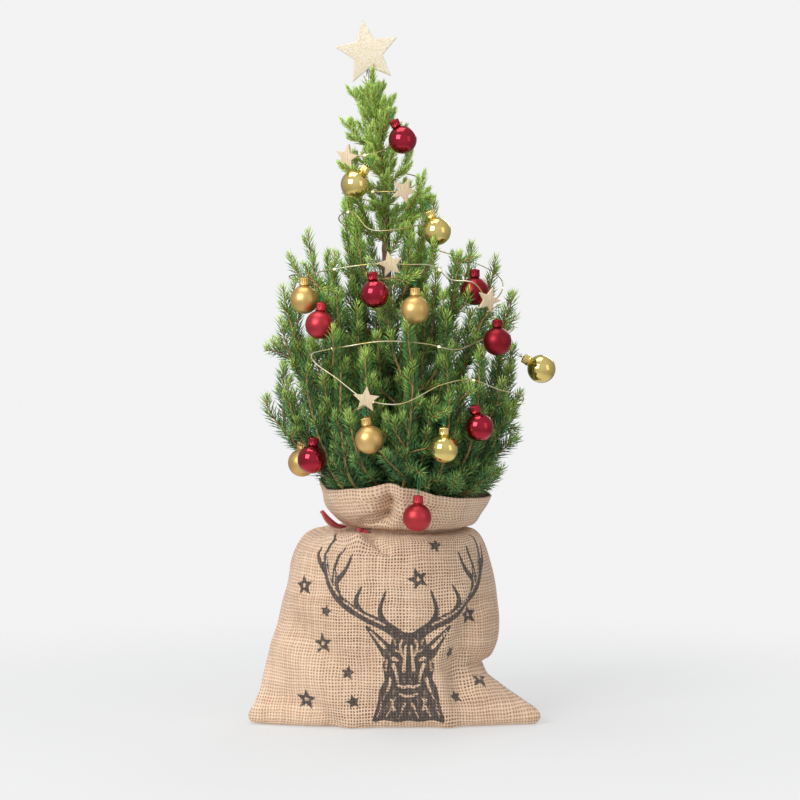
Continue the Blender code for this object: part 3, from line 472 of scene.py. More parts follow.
TRUNK_AXIS = [
    ((0.000, 0.000, 0.030), 0.0075),
    ((0.000, 0.000, 0.140), 0.0070),
    ((-0.003, 0.000, 0.220), 0.0062),
    ((-0.0065, 0.000, 0.350), 0.0050),
    ((-0.008, 0.000, 0.430), 0.0040),
]
LEADER_AXIS = [
    (-0.008, 0.0, 0.4305), (-0.009, 0.0, 0.480), (-0.0150, -0.001, 0.540), (-0.0228, -0.004, 0.598),
]
TREE_AXIS = np.array([point for point, _ in TRUNK_AXIS] + LEADER_AXIS)
BOUGHS = {
    "bough_left_high": (0.292, (-0.080, -0.020, 0.452), [
        (0.35, (-0.055, -0.042, 0.433)), (0.50, (-0.078, -0.050, 0.415)), (0.55, (-0.062, 0.022, 0.432)),
        (0.70, (-0.098, 0.006, 0.430)),
    ]),
    "bough_left_mid": (0.246, (-0.103, -0.015, 0.400), [
        (0.30, (-0.074, -0.056, 0.357)), (0.22, (-0.044, -0.048, 0.312)), (0.45, (-0.104, -0.048, 0.372)),
        (0.50, (-0.100, 0.030, 0.378)), (0.60, (-0.112, -0.025, 0.352)),
    ]),
    "bough_left_low": (0.212, (-0.120, -0.018, 0.298), [
        (0.35, (-0.066, -0.060, 0.290)), (0.18, (-0.048, -0.052, 0.252)), (0.22, (-0.056, 0.034, 0.258)),
        (0.50, (-0.098, -0.050, 0.315)), (0.55, (-0.102, 0.030, 0.300)), (0.65, (-0.094, -0.046, 0.268)),
        (0.75, (-0.104, 0.012, 0.328)),
    ]),
    "bough_right_high": (0.305, (0.071, -0.012, 0.440), [
        (0.30, (0.037, -0.052, 0.418)), (0.45, (0.058, -0.040, 0.432)), (0.50, (0.056, 0.030, 0.428)),
        (0.35, (0.022, 0.040, 0.440)),
    ]),
    "bough_right_mid": (0.258, (0.093, 0.006, 0.427), [
        (0.35, (0.074, -0.048, 0.362)), (0.24, (0.052, -0.044, 0.322)), (0.50, (0.109, -0.016, 0.395)),
        (0.45, (0.086, 0.044, 0.390)), (0.60, (0.112, 0.018, 0.372)),
    ]),
    "bough_right_low": (0.218, (0.108, -0.006, 0.331), [
        (0.30, (0.058, -0.064, 0.300)), (0.14, (0.058, -0.050, 0.246)), (0.20, (0.070, 0.030, 0.262)),
        (0.30, (0.092, -0.030, 0.244)), (0.45, (0.098, -0.048, 0.316)), (0.50, (0.110, -0.024, 0.292)),
        (0.60, (0.116, 0.014, 0.300)), (0.65, (0.108, -0.012, 0.264)),
    ]),
    "bough_front": (0.232, (0.014, -0.072, 0.381), [
        (0.25, (-0.010, -0.086, 0.270)), (0.12, (0.012, -0.064, 0.246)), (0.16, (-0.024, -0.062, 0.254)),
        (0.20, (0.036, -0.064, 0.262)), (0.30, (-0.042, -0.078, 0.286)), (0.35, (0.036, -0.078, 0.300)),
        (0.45, (-0.028, -0.072, 0.345)), (0.50, (0.044, -0.068, 0.345)), (0.60, (-0.008, -0.068, 0.392)),
    ]),
    "bough_back_left": (0.238, (-0.056, 0.072, 0.392), [
        (0.30, (-0.080, 0.052, 0.300)), (0.14, (-0.036, 0.058, 0.262)), (0.40, (-0.030, 0.086, 0.320)),
        (0.50, (-0.080, 0.056, 0.360)), (0.60, (-0.036, 0.060, 0.425)),
    ]),
    "bough_back_right": (0.270, (0.040, 0.074, 0.398), [
        (0.30, (0.080, 0.052, 0.312)), (0.14, (0.046, 0.056, 0.290)), (0.35, (0.014, 0.088, 0.330)),
        (0.50, (0.070, 0.064, 0.366)), (0.60, (0.006, 0.062, 0.432)),
    ]),
}
LEADER_SHOOTS = [
    (0.10, (0.027, -0.014, 0.505)), (0.06, (-0.045, -0.012, 0.485)), (0.20, (0.012, 0.034, 0.478)),
    (0.24, (-0.022, -0.034, 0.478)), (0.36, (0.012, -0.006, 0.524)), (0.16, (0.034, -0.020, 0.480)),
    (0.34, (-0.046, -0.002, 0.512)), (0.42, (-0.024, 0.016, 0.532)), (0.46, (-0.024, -0.026, 0.530)),
    (0.56, (-0.043, -0.004, 0.552)), (0.60, (-0.004, -0.008, 0.573)), (0.74, (-0.037, -0.006, 0.580)),
]
# Leafy shoots that fill the tree between its boughs, in rounds: how many, heights of the first and last foot,
# reach of the tips from the trunk, heights of the first and last tip, and whether they grow as open plumes
FILL_ROUNDS = [
    (16, 0.200, 0.212, 0.060, 0.228, 0.246, False),
    (13, 0.206, 0.222, 0.040, 0.250, 0.276, False),
    (13, 0.216, 0.240, 0.052, 0.276, 0.310, True),
    (11, 0.236, 0.262, 0.036, 0.296, 0.330, False),
    (11, 0.250, 0.280, 0.052, 0.330, 0.366, True),
    (10, 0.272, 0.306, 0.034, 0.340, 0.380, False),
    (9, 0.296, 0.330, 0.046, 0.374, 0.412, True),
    (6, 0.322, 0.350, 0.034, 0.396, 0.430, True),
]
# Tips of the low sprays that lean out over the collar's rim
RIM_SPRAYS = [
    (0.086, -0.028, 0.226), (0.092, -0.006, 0.238), (0.078, -0.052, 0.224), (0.060, -0.068, 0.224),
    (0.086, 0.026, 0.230), (0.066, -0.046, 0.240), (0.040, -0.074, 0.228), (-0.030, -0.066, 0.240),
    (0.014, -0.072, 0.236), (-0.060, -0.036, 0.238), (-0.052, 0.030, 0.244), (0.030, 0.066, 0.236),
    (-0.010, 0.070, 0.240), (0.078, -0.030, 0.250), (0.060, 0.052, 0.242), (0.092, -0.014, 0.221),
    (0.084, -0.036, 0.218), (0.072, -0.054, 0.217), (0.096, 0.006, 0.228), (0.052, -0.066, 0.220),
    (0.088, -0.026, 0.242), (0.092, 0.000, 0.250), (-0.072, -0.030, 0.246), (-0.066, 0.010, 0.250),
    (0.064, -0.060, 0.232), (0.028, -0.074, 0.224), (-0.078, -0.010, 0.256),
]
# Upright plumes in front, whose pale stems show from low down to near their tips
FRONT_PLUMES = [
    [(-0.010, -0.020, 0.206), (-0.046, -0.048, 0.216), (-0.068, -0.060, 0.262), (-0.080, -0.060, 0.322),
     (-0.074, -0.056, 0.350)],
    [(-0.008, -0.025, 0.206), (-0.038, -0.056, 0.222), (-0.048, -0.067, 0.268), (-0.049, -0.066, 0.330),
     (-0.053, -0.060, 0.396)],
    [(-0.006, -0.025, 0.232), (-0.021, -0.062, 0.262), (-0.025, -0.076, 0.304), (-0.027, -0.078, 0.342)],
    [(0.002, -0.024, 0.206), (0.008, -0.064, 0.222), (0.012, -0.079, 0.262), (0.016, -0.084, 0.312),
     (0.014, -0.084, 0.348), (0.009, -0.079, 0.386)],
    [(0.006, -0.020, 0.206), (0.038, -0.058, 0.226), (0.048, -0.069, 0.270), (0.047, -0.070, 0.330),
     (0.043, -0.063, 0.396)],
    [(0.012, -0.020, 0.212), (0.060, -0.050, 0.238), (0.074, -0.061, 0.290), (0.077, -0.062, 0.346)],
    [(-0.004, -0.030, 0.212), (-0.022, -0.060, 0.228), (-0.034, -0.087, 0.254), (-0.042, -0.098, 0.290)],
    [(0.010, -0.078, 0.256), (0.000, -0.083, 0.272), (-0.008, -0.086, 0.286)],
    [(0.012, -0.020, 0.212), (0.060, -0.030, 0.230), (0.092, -0.030, 0.246), (0.112, -0.028, 0.262)],
    [(-0.010, -0.010, 0.372), (-0.034, -0.012, 0.396), (-0.043, -0.010, 0.436), (-0.046, -0.008, 0.478)],
    [(-0.008, -0.010, 0.392), (-0.026, -0.024, 0.410), (-0.034, -0.026, 0.440), (-0.037, -0.022, 0.466)],
    [(-0.010, 0.010, 0.380), (-0.028, 0.020, 0.406), (-0.038, 0.020, 0.440), (-0.042, 0.014, 0.488)],
    [(0.000, -0.012, 0.380), (0.018, -0.018, 0.406), (0.024, -0.020, 0.440), (0.027, -0.018, 0.486)],
    [(0.000, 0.010, 0.376), (0.024, 0.016, 0.402), (0.034, 0.012, 0.436), (0.036, 0.008, 0.482)],
    [(-0.004, 0.012, 0.400), (0.010, 0.026, 0.424), (0.014, 0.028, 0.450), (0.014, 0.024, 0.478)],
    [(0.002, -0.016, 0.384), (0.012, -0.030, 0.404), (0.014, -0.034, 0.430), (0.012, -0.030, 0.458)],
    [(-0.006, 0.004, 0.440), (-0.024, 0.002, 0.456), (-0.034, -0.002, 0.490), (-0.038, -0.004, 0.524)],
    [(0.012, -0.078, 0.252), (0.024, -0.084, 0.256), (0.038, -0.086, 0.257)],
    [(0.048, -0.050, 0.214), (0.052, -0.068, 0.2225), (0.053, -0.0830, 0.2255)],
    [(0.064, -0.050, 0.212), (0.078, -0.052, 0.222), (0.092, -0.044, 0.232)],
    [(-0.004, -0.020, 0.206), (-0.058, -0.040, 0.222), (-0.082, -0.040, 0.256), (-0.098, -0.036, 0.296)],
    [(0.006, -0.020, 0.206), (0.064, -0.034, 0.222), (0.088, -0.034, 0.252), (0.104, -0.030, 0.292)],
    [(0.006, -0.010, 0.214), (0.070, -0.020, 0.232), (0.096, -0.020, 0.270), (0.106, -0.016, 0.330)],
]
# Sprigs that cross in front of some hanging pieces
COVER_SPRIGS = [
    [(0.012, -0.050, 0.224), (0.004, -0.088, 0.236), (-0.007, -0.107, 0.248), (-0.0125, -0.1130, 0.2575)],
    [(-0.014, -0.006, 0.484), (-0.034, -0.030, 0.496), (-0.051, -0.038, 0.513)],
    [(0.010, -0.010, 0.470), (0.020, -0.036, 0.482), (0.021, -0.047, 0.501)],
    [(0.016, -0.082, 0.330), (0.013, -0.098, 0.348), (0.0110, -0.1085, 0.3730)],
    [(-0.056, -0.066, 0.330), (-0.055, -0.084, 0.345), (-0.056, -0.088, 0.366)],
    [(0.024, -0.030, 0.410), (0.034, -0.054, 0.424), (0.035, -0.0600, 0.4440)],
    [(0.058, -0.040, 0.380), (0.064, -0.060, 0.386), (0.068, -0.067, 0.4000)],
]
SHOOT_BEND = (0.84, 0.84, 0.32)
PLUME_BEND = (0.93, 0.93, 0.16)
SPRIG_BEND = (0.66, 0.66, 0.40)
# Tips of the tall plumes that leave the trunk low down and stand upright round the tree
PLUME_TIPS = [
    (-0.092, -0.018, 0.304), (-0.082, -0.044, 0.288), (-0.064, -0.058, 0.322), (-0.050, -0.064, 0.360),
    (-0.037, -0.072, 0.282), (-0.021, -0.078, 0.322), (0.001, -0.078, 0.268), (0.015, -0.080, 0.342),
    (0.031, -0.076, 0.292), (0.047, -0.070, 0.378), (0.063, -0.064, 0.318), (0.080, -0.048, 0.344),
    (0.094, -0.026, 0.300), (0.098, 0.006, 0.332), (0.086, -0.040, 0.274), (-0.094, 0.012, 0.284),
    (-0.076, 0.044, 0.312), (-0.044, 0.066, 0.336), (0.000, 0.076, 0.304), (0.042, 0.070, 0.338),
    (0.080, 0.044, 0.314), (-0.070, -0.034, 0.262), (0.074, -0.052, 0.262), (-0.012, -0.072, 0.296),
    (0.056, -0.070, 0.268), (-0.054, -0.062, 0.268), (0.020, 0.078, 0.272), (-0.060, 0.060, 0.276),
    (-0.034, -0.056, 0.386), (0.028, -0.058, 0.400), (-0.064, -0.040, 0.392), (0.068, -0.040, 0.380),
    (0.100, -0.008, 0.360), (-0.090, -0.012, 0.346), (0.102, 0.042, 0.378), (0.056, 0.084, 0.386),
    (-0.008, 0.088, 0.396), (-0.070, 0.064, 0.404), (0.104, 0.040, 0.292), (0.066, 0.074, 0.272),
    (0.082, 0.062, 0.322), (0.024, 0.088, 0.352), (-0.094, 0.016, 0.404), (-0.040, 0.078, 0.352),
]
# Short sprigs round the leader: how many, heights of the first and last tip, reach of the first and last
SPRIG_ROUNDS = [
    (5, 0.440, 0.498, 0.024, 0.020),
    (7, 0.498, 0.545, 0.024, 0.021),
    (9, 0.545, 0.588, 0.022, 0.015),
    (8, 0.566, 0.604, 0.013, 0.008),
]
GOLDEN_TURN = math.radians(137.508)
# Nearly upright, so that no stem runs exactly along it
NEAR_UP = UP + np.array([0.013, 0.017, 0.0])
# How far needles may stand out beyond the CAD box
BOX_ROOM = 0.012
# A shoot shorter than the first grows nothing, and a twig longer than the second branches again
SHORTEST_SHOOT = 0.004
BRANCHING_TWIG = 0.017
# A twig's longest reach and its radius at the foot, by level
TWIG_REACH = {1: 0.027, 2: 0.011}
TWIG_RADIUS = {1: 0.00080, 2: 0.0005}
# Space that twigs keep from whatever hangs in the tree
TWIG_GAP = 0.0022
NEEDLE_LENGTH = 0.0106
NEEDLE_WIDTH = 0.00108
NEEDLE_STEP = 0.00060
OPEN_SPACING = 0.0125
CLOSE_SPACING = 0.0068
HIGH_GROWTH = (0.36, 0.50)
# Height from which shoots belong to the leader's spray
SPRAY_START = 0.424
FRESH_LENGTH = 0.017
# Space that stems keep from what moves, and that needles and stems keep from the battery lid
STEM_GAP = 0.0015
LID_ROOM = 0.0048
LID_STEM_ROOM = 0.0026


def rising_curve(start, tip, count, bend_shares=SHOOT_BEND):
    """Points on a shoot that leaves outward and turns up towards its tip."""
    start, tip = np.array(start), np.array(tip)
    return bent_curve(start, start + (tip - start) * np.array(bend_shares), tip, count)


def axis_point(height):
    """The point of the trunk or leader at a height."""
    return at_places(TREE_AXIS, TREE_AXIS[:, 2], height)[0]


def bough_shoots(name):
    """Shoots as path, stem's radius at the foot, share that is bare, spacing of twigs, fullness."""
    foot_height, main_tip, sides = BOUGHS[name]
    main = rising_curve(axis_point(foot_height), main_tip, 40)
    shoots = [(main, 0.0019, 0.15, OPEN_SPACING, 1.0)]
    for place, tip in sides:
        shoots.append((rising_curve(point_along(main, place), tip, 28), 0.0014, 0.10, OPEN_SPACING, 1.0))
    return shoots


def leader_shoots():
    main = smooth_curve(LEADER_AXIS, 60)
    shoots = [(main, 0.0026, 0.03, CLOSE_SPACING, 1.5)]
    for place, tip in LEADER_SHOOTS:
        shoots.append((rising_curve(point_along(main, place), tip, 24), 0.0012, 0.06, OPEN_SPACING, 1.5))
    turn = 0.7
    for count, low, high, low_reach, high_reach in SPRIG_ROUNDS:
        for index in range(count):
            share = index / (count - 1)
            turn += GOLDEN_TURN
            reach = (low_reach + (high_reach - low_reach) * share) * random.uniform(0.75, 1.08)
            height = low + (high - low) * share
            foot = axis_point(height - 0.010 - 0.75 * reach)
            tip = axis_point(height) + reach * np.array([math.cos(turn), 0.9 * math.sin(turn), 0.0])
            tip[2] = height
            shoots.append((rising_curve(foot, tip, 16, SPRIG_BEND), 0.0010, 0.08, OPEN_SPACING, 1.5))
    return shoots


class Growth:
    """The stems and needles of one bough."""

    def __init__(self):
        self.stems = []
        self.needles = []

    def stem(self, path, foot, tip, sides):
        self.stems.append(tube_mesh(path, np.linspace(foot, tip, len(path)), sides))

    def shoot(self, path, foot, bare, freshness, step=NEEDLE_STEP, level=0, spacing=0.0062):
        """A stem with its needles, and the twigs that branch from it."""
        length = path_length(path)
        if length < SHORTEST_SHOOT:
            return
        tip = max(0.00042, 0.36 * foot)
        self.stem(resample(path, max(4, int(length / 0.006))), foot, tip, 7 if level == 0 else 5)
        self.clothe(path, foot, bare, freshness, step)
        if level == 0:
            self.branch(path, bare, freshness, step, spacing, level=1)
        elif level == 1 and length > BRANCHING_TWIG:
            self.branch(path, 0.18, freshness, step, 0.0075, level=2)

    def clothe(self, path, foot, bare, freshness, step):
        length = path_length(path)
        places = np.arange(bare * length, length, step)
        if not len(places):
            return
        along = run_lengths(path)
        points = at_places(path, along, places)
        ahead = unit(at_places(np.gradient(path, along, axis=0), along, places))
        side = unit(np.cross(ahead, NEAR_UP))
        turns = GOLDEN_TURN * np.arange(len(places)) + random.uniform(0, 6.28)
        radial = circle(turns, side, np.cross(ahead, side))
        to_tip = length - places
        near_tip = np.clip(1.0 - to_tip / 0.010, 0.0, 1.0)
        high = high_growth(points[:, 2])
        lean = np.radians(52.0 - 14.0 * high - 28.0 * near_tip + random.uniform(-10, 10, len(places)))
        aim = unit(circle(lean, ahead, radial) + 0.12 * UP)
        sizes = NEEDLE_LENGTH * random.uniform(0.78, 1.12, len(places)) * (1.0 - 0.38 * near_tip)
        low = np.clip((0.300 - points[:, 2]) / 0.070, 0.0, 1.0)
        sizes *= np.clip(0.62 + length / 0.05, 0.0, 1.0) * (1.0 - 0.30 * high + 0.22 * low)
        fresh = np.clip(1.0 - to_tip / FRESH_LENGTH, 0.0, 1.0) * freshness
        fresh = np.maximum(fresh, 0.72 * high)
        roots = points + radial * foot * 0.55
        tone = random.uniform(0, 1, len(places))
        self.needles.append(np.column_stack([roots, aim, sizes, fresh, tone]))

    def branch(self, path, bare, freshness, step, spacing, level):
        length = path_length(path)
        turn = random.uniform(0, 6.28)
        place = bare * length + spacing
        while place < length - 0.005:
            share = place / length
            point = point_along(path, share)
            ahead = unit(point_along(path, min(1.0, share + 0.03)) - point_along(path, share - 0.03))
            side = unit(np.cross(ahead, NEAR_UP))
            turn += GOLDEN_TURN
            radial = math.cos(turn) * side + math.sin(turn) * np.cross(ahead, side)
            reach = TWIG_REACH[level] * (0.34 + 0.66 * (1.0 - share) ** 0.8) * random.uniform(0.6, 1.1)
            reach = min(reach, 0.8 * (length - place) + 0.008)
            away = unit(0.84 * ahead + 0.60 * radial)
            onward = unit(0.40 * away + 0.70 * ahead + 0.30 * UP)
            middle = point + away * reach * 0.5
            twig = cut_short(bent_curve(point, middle, middle + onward * reach * 0.5, 10))
            if len(twig) > 3:
                freshness_here = freshness * random.uniform(0.55, 1.0)
                self.shoot(twig, TWIG_RADIUS[level], 0.06, freshness_here, step, level)
            place += spacing * random.uniform(0.75, 1.25)


def high_growth(height):
    """0 low in the tree, where needles are long and dark, to 1 in its short bright top growth."""
    low, high = HIGH_GROWTH
    return np.clip((height - low) / (high - low), 0.0, 1.0)


def cut_short(path):
    """A twig's path up to where it would meet something that hangs in the tree or the collar's cloth."""
    blocked = blocked_points(path, TWIG_GAP)
    if not blocked.any():
        return path
    return path[:int(np.argmax(blocked))]


def string_of(start, end, spacing, radius):
    """Spheres of one radius in a row: x, y, z, radius."""
    start, end = np.array(start), np.array(end)
    count = max(2, int(np.linalg.norm(end - start) / spacing) + 1)
    return [[*(start + (end - start) * share), radius] for share in np.linspace(0.0, 1.0, count)]


def moving_clear_table():
    """Spheres that hold the balls, caps and threads all along their swings."""
    rows = []
    for number in BAUBLE_NUMBERS:
        for ball, hang, up in swung_frames(number):
            rows.append([*ball, BALL_RADIUS + 0.0014])
            rows += string_of(ball + up * (BALL_RADIUS + 0.001), ball + up * 0.0185, 0.002, 0.0046)
            rows += string_of(ball + up * CAP_TOP, 0.3 * ball + 0.7 * hang, 0.003, 0.0008)
    return np.array(rows)


def lid_clear_table():
    """Spheres that hold the battery lid all along its slide, with room for needles beside it."""
    rows = []
    low, high = (np.array(corner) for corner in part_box("battery_lid"))
    slide = JOINTS["lid_slide"]
    half = (high - low) / 2
    for travel in np.linspace(*slide["range_m"], 7):
        middle = (low + high) / 2 + np.array(slide["axis"]) * travel
        for share in np.linspace(-0.85, 0.85, 5):
            side = np.array([half[0] * share, 0.0, 0.0])
            rise = UP * half[2]
            rows += string_of(middle + side - rise, middle + side + rise, 0.004, half[1] + LID_ROOM)
    return np.array(rows)


def swung_frames(number):
    """A bauble's ball centre, hanging point and upward direction at five angles of its swing."""
    ball, hang, up = bauble_frame(number)
    joint = JOINTS[f"bauble_{number:02d}_swing"]
    for degrees in np.linspace(*joint["range_deg"], 5):
        turn = Matrix.Rotation(math.radians(degrees), 3, Vector(joint["axis"]))
        swung = np.array(turn @ Vector(up))
        yield hang - swung * np.linalg.norm(hang - ball), hang, swung


def still_clear_table():
    """Spheres that hold the baubles, threads, stars, wire, topper and case at rest, and the view of them."""
    rows = []
    for point in resample(smooth_curve(WIRE_ROUTE, WIRE_POINTS), 700):
        rows.append([*point, 0.0010])
        if point[1] < -0.012:
            rows.append([point[0], point[1] - 0.003, point[2], 0.0010])
    for number in BAUBLE_NUMBERS:
        ball, hang, up = bauble_frame(number)
        cap_top = ball + up * CAP_TOP
        rows.append([*ball, BALL_RADIUS + 0.0009])
        rows += string_of(ball + up * BALL_RADIUS, cap_top, 0.002, 0.0056)
        rows += string_of(cap_top, hang, 0.002, 0.0012)
        for swung_ball, _, swung in swung_frames(number):
            rows += string_of(swung_ball + swung * CAP_TOP, hang, 0.003, 0.0008)
        to_viewer = np.array([0.0, -0.034, 0.0024])
        if number in HALF_HIDDEN:
            across, rise = HALF_HIDDEN[number]
            seen = ball + np.array([across, 0.0, rise])
            rows += string_of(seen, seen + to_viewer, 0.004, 0.0062)
        else:
            cap = ball + up * 0.014
            rows += string_of(ball, ball + to_viewer, 0.004, 0.0105)
            rows += string_of(cap, cap + np.array([0.0, -0.030, 0.0021]), 0.004, 0.0040)
    for number in STAR_NUMBERS:
        centre = node_centre(f"wood_star_{number}")
        radius = 0.0040 if number in HALF_HIDDEN_STARS else 0.0105
        rows += string_of(centre, centre + np.array([0.0, -0.024, 0.0017]), 0.003, radius)
    centre = node_centre("topper_star")
    for side in (-0.016, 0.0, 0.016):
        foot = centre + np.array([side, -0.004, -0.020])
        rows += string_of(foot, foot + UP * 0.042, 0.005, 0.0085)
    low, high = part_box("battery_case")
    for side in np.linspace(low[0] + 0.004, high[0] - 0.004, 5):
        y = (low[1] + high[1]) / 2
        rows += string_of((side, y, low[2]), (side, y + 0.004, high[2] + 0.012), 0.004, 0.0075)
        rows += string_of((side, y + 0.010, low[2]), (side, y + 0.030, high[2] + 0.002), 0.006, 0.0080)
    return np.array(rows)


def steered(path):
    """A stem's path, bent just clear of what swings or slides beside it."""
    path = np.array(path)
    places = np.arange(len(path))
    for _ in range(4):
        away = path[:, None, :] - MOVING_CLEAR[None, :, :3]
        distance = np.linalg.norm(away, axis=2)
        depth = MOVING_CLEAR[None, :, 3] + STEM_GAP - distance
        deepest = np.argmax(depth, axis=1)
        shift = np.clip(depth[places, deepest], 0.0, None) / distance[places, deepest]
        path = path + away[places, deepest] * shift[:, None]
    return path


def by_lid(path):
    """Whether a stem would stand in the lid's way."""
    gaps = np.linalg.norm(path[:, None, :] - LID_CLEAR[None, :, :3], axis=2) - LID_CLEAR[None, :, 3]
    return bool((gaps < LID_STEM_ROOM - LID_ROOM).any())


def blocked_points(points, extra):
    """Which points lie in something's clear space, or outside the collar below its rim."""
    points = np.asarray(points, float)
    blocked = np.zeros(len(points), bool)
    for start in range(0, len(points), 4000):
        part = points[start:start + 4000]
        gaps = np.linalg.norm(part[:, None, :] - KEEP_CLEAR[None, :, :3], axis=2) - KEEP_CLEAR[None, :, 3]
        blocked[start:start + 4000] = (gaps < extra).any(axis=1)
    by_hollow = (np.abs(points[:, 0] + 0.006) < 0.020) & (points[:, 1] < -0.030)
    return blocked | beyond_collar(points, np.where(by_hollow, 0.0130, 0.0018))


def needle_mesh(rows):
    """Points, triangles and shading values of many needles, each a slim spindle with three sides."""
    roots, aim, sizes = rows[:, 0:3], rows[:, 3:6], rows[:, 6]
    side = unit(np.cross(aim, random.normal(size=aim.shape)))
    other = np.cross(aim, side)
    half = NEEDLE_WIDTH / 2 * random.uniform(0.85, 1.15, len(rows))
    belly = roots + aim * (sizes * 0.36)[:, None]
    corners = []
    for turn in (0.0, 2 * math.pi / 3, 4 * math.pi / 3):
        corners.append(belly + half[:, None] * (math.cos(turn) * side + math.sin(turn) * other))
    bend = np.array([0.0, 0.0, 0.08])
    tips = roots + (aim + bend) * sizes[:, None]
    vertices = np.stack([roots, *corners, tips], axis=1).reshape(-1, 3)
    pattern = np.array([(0, 2, 1), (0, 3, 2), (0, 1, 3), (4, 1, 2), (4, 2, 3), (4, 3, 1)])
    triangles = (pattern[None] + 5 * np.arange(len(rows))[:, None, None]).reshape(-1, 3)
    fresh = np.repeat(rows[:, 7], 5)
    tone = np.repeat(rows[:, 8], 5)
    return vertices, triangles, fresh, tone


def needle_look():
    look = Look("needle_look", roughness=0.46)
    fresh = look.attribute("fresh")
    tone = look.attribute("tone")
    patchy = look.noise(38.0, 2.0)
    age = look.math("ADD", look.math("MULTIPLY", fresh, 0.86), look.math("MULTIPLY", patchy, 0.22))
    hue = look.ramp(age, [
        (0.04, (0.053, 0.154, 0.040)), (0.24, (0.118, 0.282, 0.054)),
        (0.50, (0.285, 0.505, 0.078)), (0.90, (0.565, 0.785, 0.170)),
    ])
    height = look.node("SeparateXYZ", {"Vector": look.place()}).outputs["Z"]
    # Painted shade: needles turn a darker, bluer green low in the tree, towards the collar.
    painted_low_shade = look.spread(height, 0.210, 0.360, 1.0, 0.0)
    hue = look.mix(look.math("MULTIPLY", painted_low_shade, 0.55), hue, (0.038, 0.142, 0.072))
    # Painted shade: needles are darker near the trunk's axis. They run from half brightness there to a touch
    # over full brightness 70 mm out. Between 0.36 m and 0.44 m up they are lifted back to that level. Each
    # needle's random tone multiplies this.
    flat = look.node("VectorMath", {0: look.place((1.0, 1.0, 0.0))}, operation="LENGTH").outputs["Value"]
    inner = look.spread(flat, 0.018, 0.070, 0.50, 1.10)
    inner = look.math("MAXIMUM", inner, look.spread(height, 0.36, 0.44, 0.0, 1.08))
    tone_and_painted_shade = look.math("MULTIPLY", look.spread(tone, 0.0, 1.0, 0.62, 1.18, smooth=False), inner)
    dim = look.node("CombineColor", {"Red": tone_and_painted_shade, "Green": tone_and_painted_shade, "Blue": tone_and_painted_shade}).outputs[0]
    look.feed("Base Color", look.mix(1.0, hue, dim, "MULTIPLY"))
    look.set("Specular IOR Level", 0.50)
    return look.material


def twig_look():
    look = Look("twig_look", roughness=0.78)
    grain = look.noise(420.0, 3.0, look.place((1.0, 1.0, 0.25)))
    look.feed("Base Color", look.ramp(grain, [
        (0.30, (0.260, 0.135, 0.045)), (0.55, (0.480, 0.280, 0.100)), (0.80, (0.640, 0.420, 0.175)),
    ]))
    look.bump(grain, 0.0004, 0.6)
    return look.material


def bark_look():
    look = Look("bark_look", roughness=0.86)
    plates = look.noise(260.0, 4.0, look.place((1.0, 1.0, 0.35)), roughness=0.65)
    look.feed("Base Color", look.ramp(plates, [
        (0.28, (0.050, 0.028, 0.016)), (0.52, (0.150, 0.090, 0.050)), (0.78, (0.290, 0.190, 0.115)),
    ]))
    look.bump(plates, 0.0011, 0.9)
    return look.material


def make_bough(name, shoots, looks):
    """One bough's foliage, kept clear of what hangs, swings or slides beside it."""
    growth = Growth()
    for path, foot, bare, spacing, fullness in shoots:
        path = steered(path)
        if not by_lid(path):
            growth.shoot(path, foot, bare, 1.0, NEEDLE_STEP / fullness, spacing=spacing)
    rows = np.concatenate(growth.needles)
    roots, reach = rows[:, 0:3], rows[:, 3:6] * rows[:, 6:7]
    tips = roots + reach
    keep = ~(blocked_points(tips, 0.0) | blocked_points(roots + reach * 0.5, 0.0))
    low, high = np.array(CAD_BOX[0]) - BOX_ROOM, np.array(CAD_BOX[1]) + BOX_ROOM
    keep &= ((tips > low) & (tips < high)).all(axis=1)
    points, triangles, fresh, tone = needle_mesh(rows[keep])
    parts = Parts()
    parts.add((points, triangles))
    for stem in growth.stems:
        parts.add(stem, 1)
    bough = parts.joined(f"{name}_foliage", looks)
    spare = np.zeros(parts.count - len(points))
    write_values(bough, "fresh", np.concatenate([fresh, spare]))
    write_values(bough, "tone", np.concatenate([tone, spare]))
    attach(bough, "tree")
    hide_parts(name)


def hanging_twigs(groups):
    """Each bauble hangs from a twig of its own, grown from the nearest stem of the nearest bough."""
    for number in BAUBLE_NUMBERS:
        _, hang, _ = bauble_frame(number)
        best = None
        for name, shoots in groups.items():
            for path, _, _, _, _ in shoots:
                below = path[path[:, 2] < hang[2] - 0.004]
                for point in (below if len(below) else path)[::2]:
                    gap = float(np.linalg.norm(point - hang))
                    if best is None or gap < best[0]:
                        best = (gap, name, point)
        _, name, point = best
        reach = hang - point
        end = hang + unit(reach * np.array([1.0, 1.0, 0.3])) * 0.003
        middle = point + reach * np.array([0.45, 0.45, 0.75])
        groups[name].append((bent_curve(point, middle, end, 16), 0.0010, 0.05, OPEN_SPACING, 1.0))


def fill_shoots():
    """Paths of the shoots that fill the tree, and whether each grows as an open plume."""
    for count, low_foot, high_foot, reach, low_tip, high_tip, plume in FILL_ROUNDS:
        start = random.uniform(0, 2 * math.pi)
        for index in range(count):
            share = random.uniform()
            heading = start + 2 * math.pi * index / count + random.uniform(-0.16, 0.16)
            foot = axis_point(low_foot + (high_foot - low_foot) * share)
            out = reach * random.uniform(0.82, 1.12)
            tip = foot + np.array([1.06 * out * math.cos(heading), 0.94 * out * math.sin(heading), 0.0])
            tip[2] = low_tip + (high_tip - low_tip) * (0.6 * share + 0.4 * random.uniform())
            yield rising_curve(foot, tip, 24), plume
    for tip in RIM_SPRAYS:
        yield rising_curve(axis_point(tip[2] - 0.012), tip, 24), False
    for tip in PLUME_TIPS:
        yield rising_curve(axis_point(0.206 + 0.10 * (tip[2] - 0.26)), tip, 36, PLUME_BEND), True


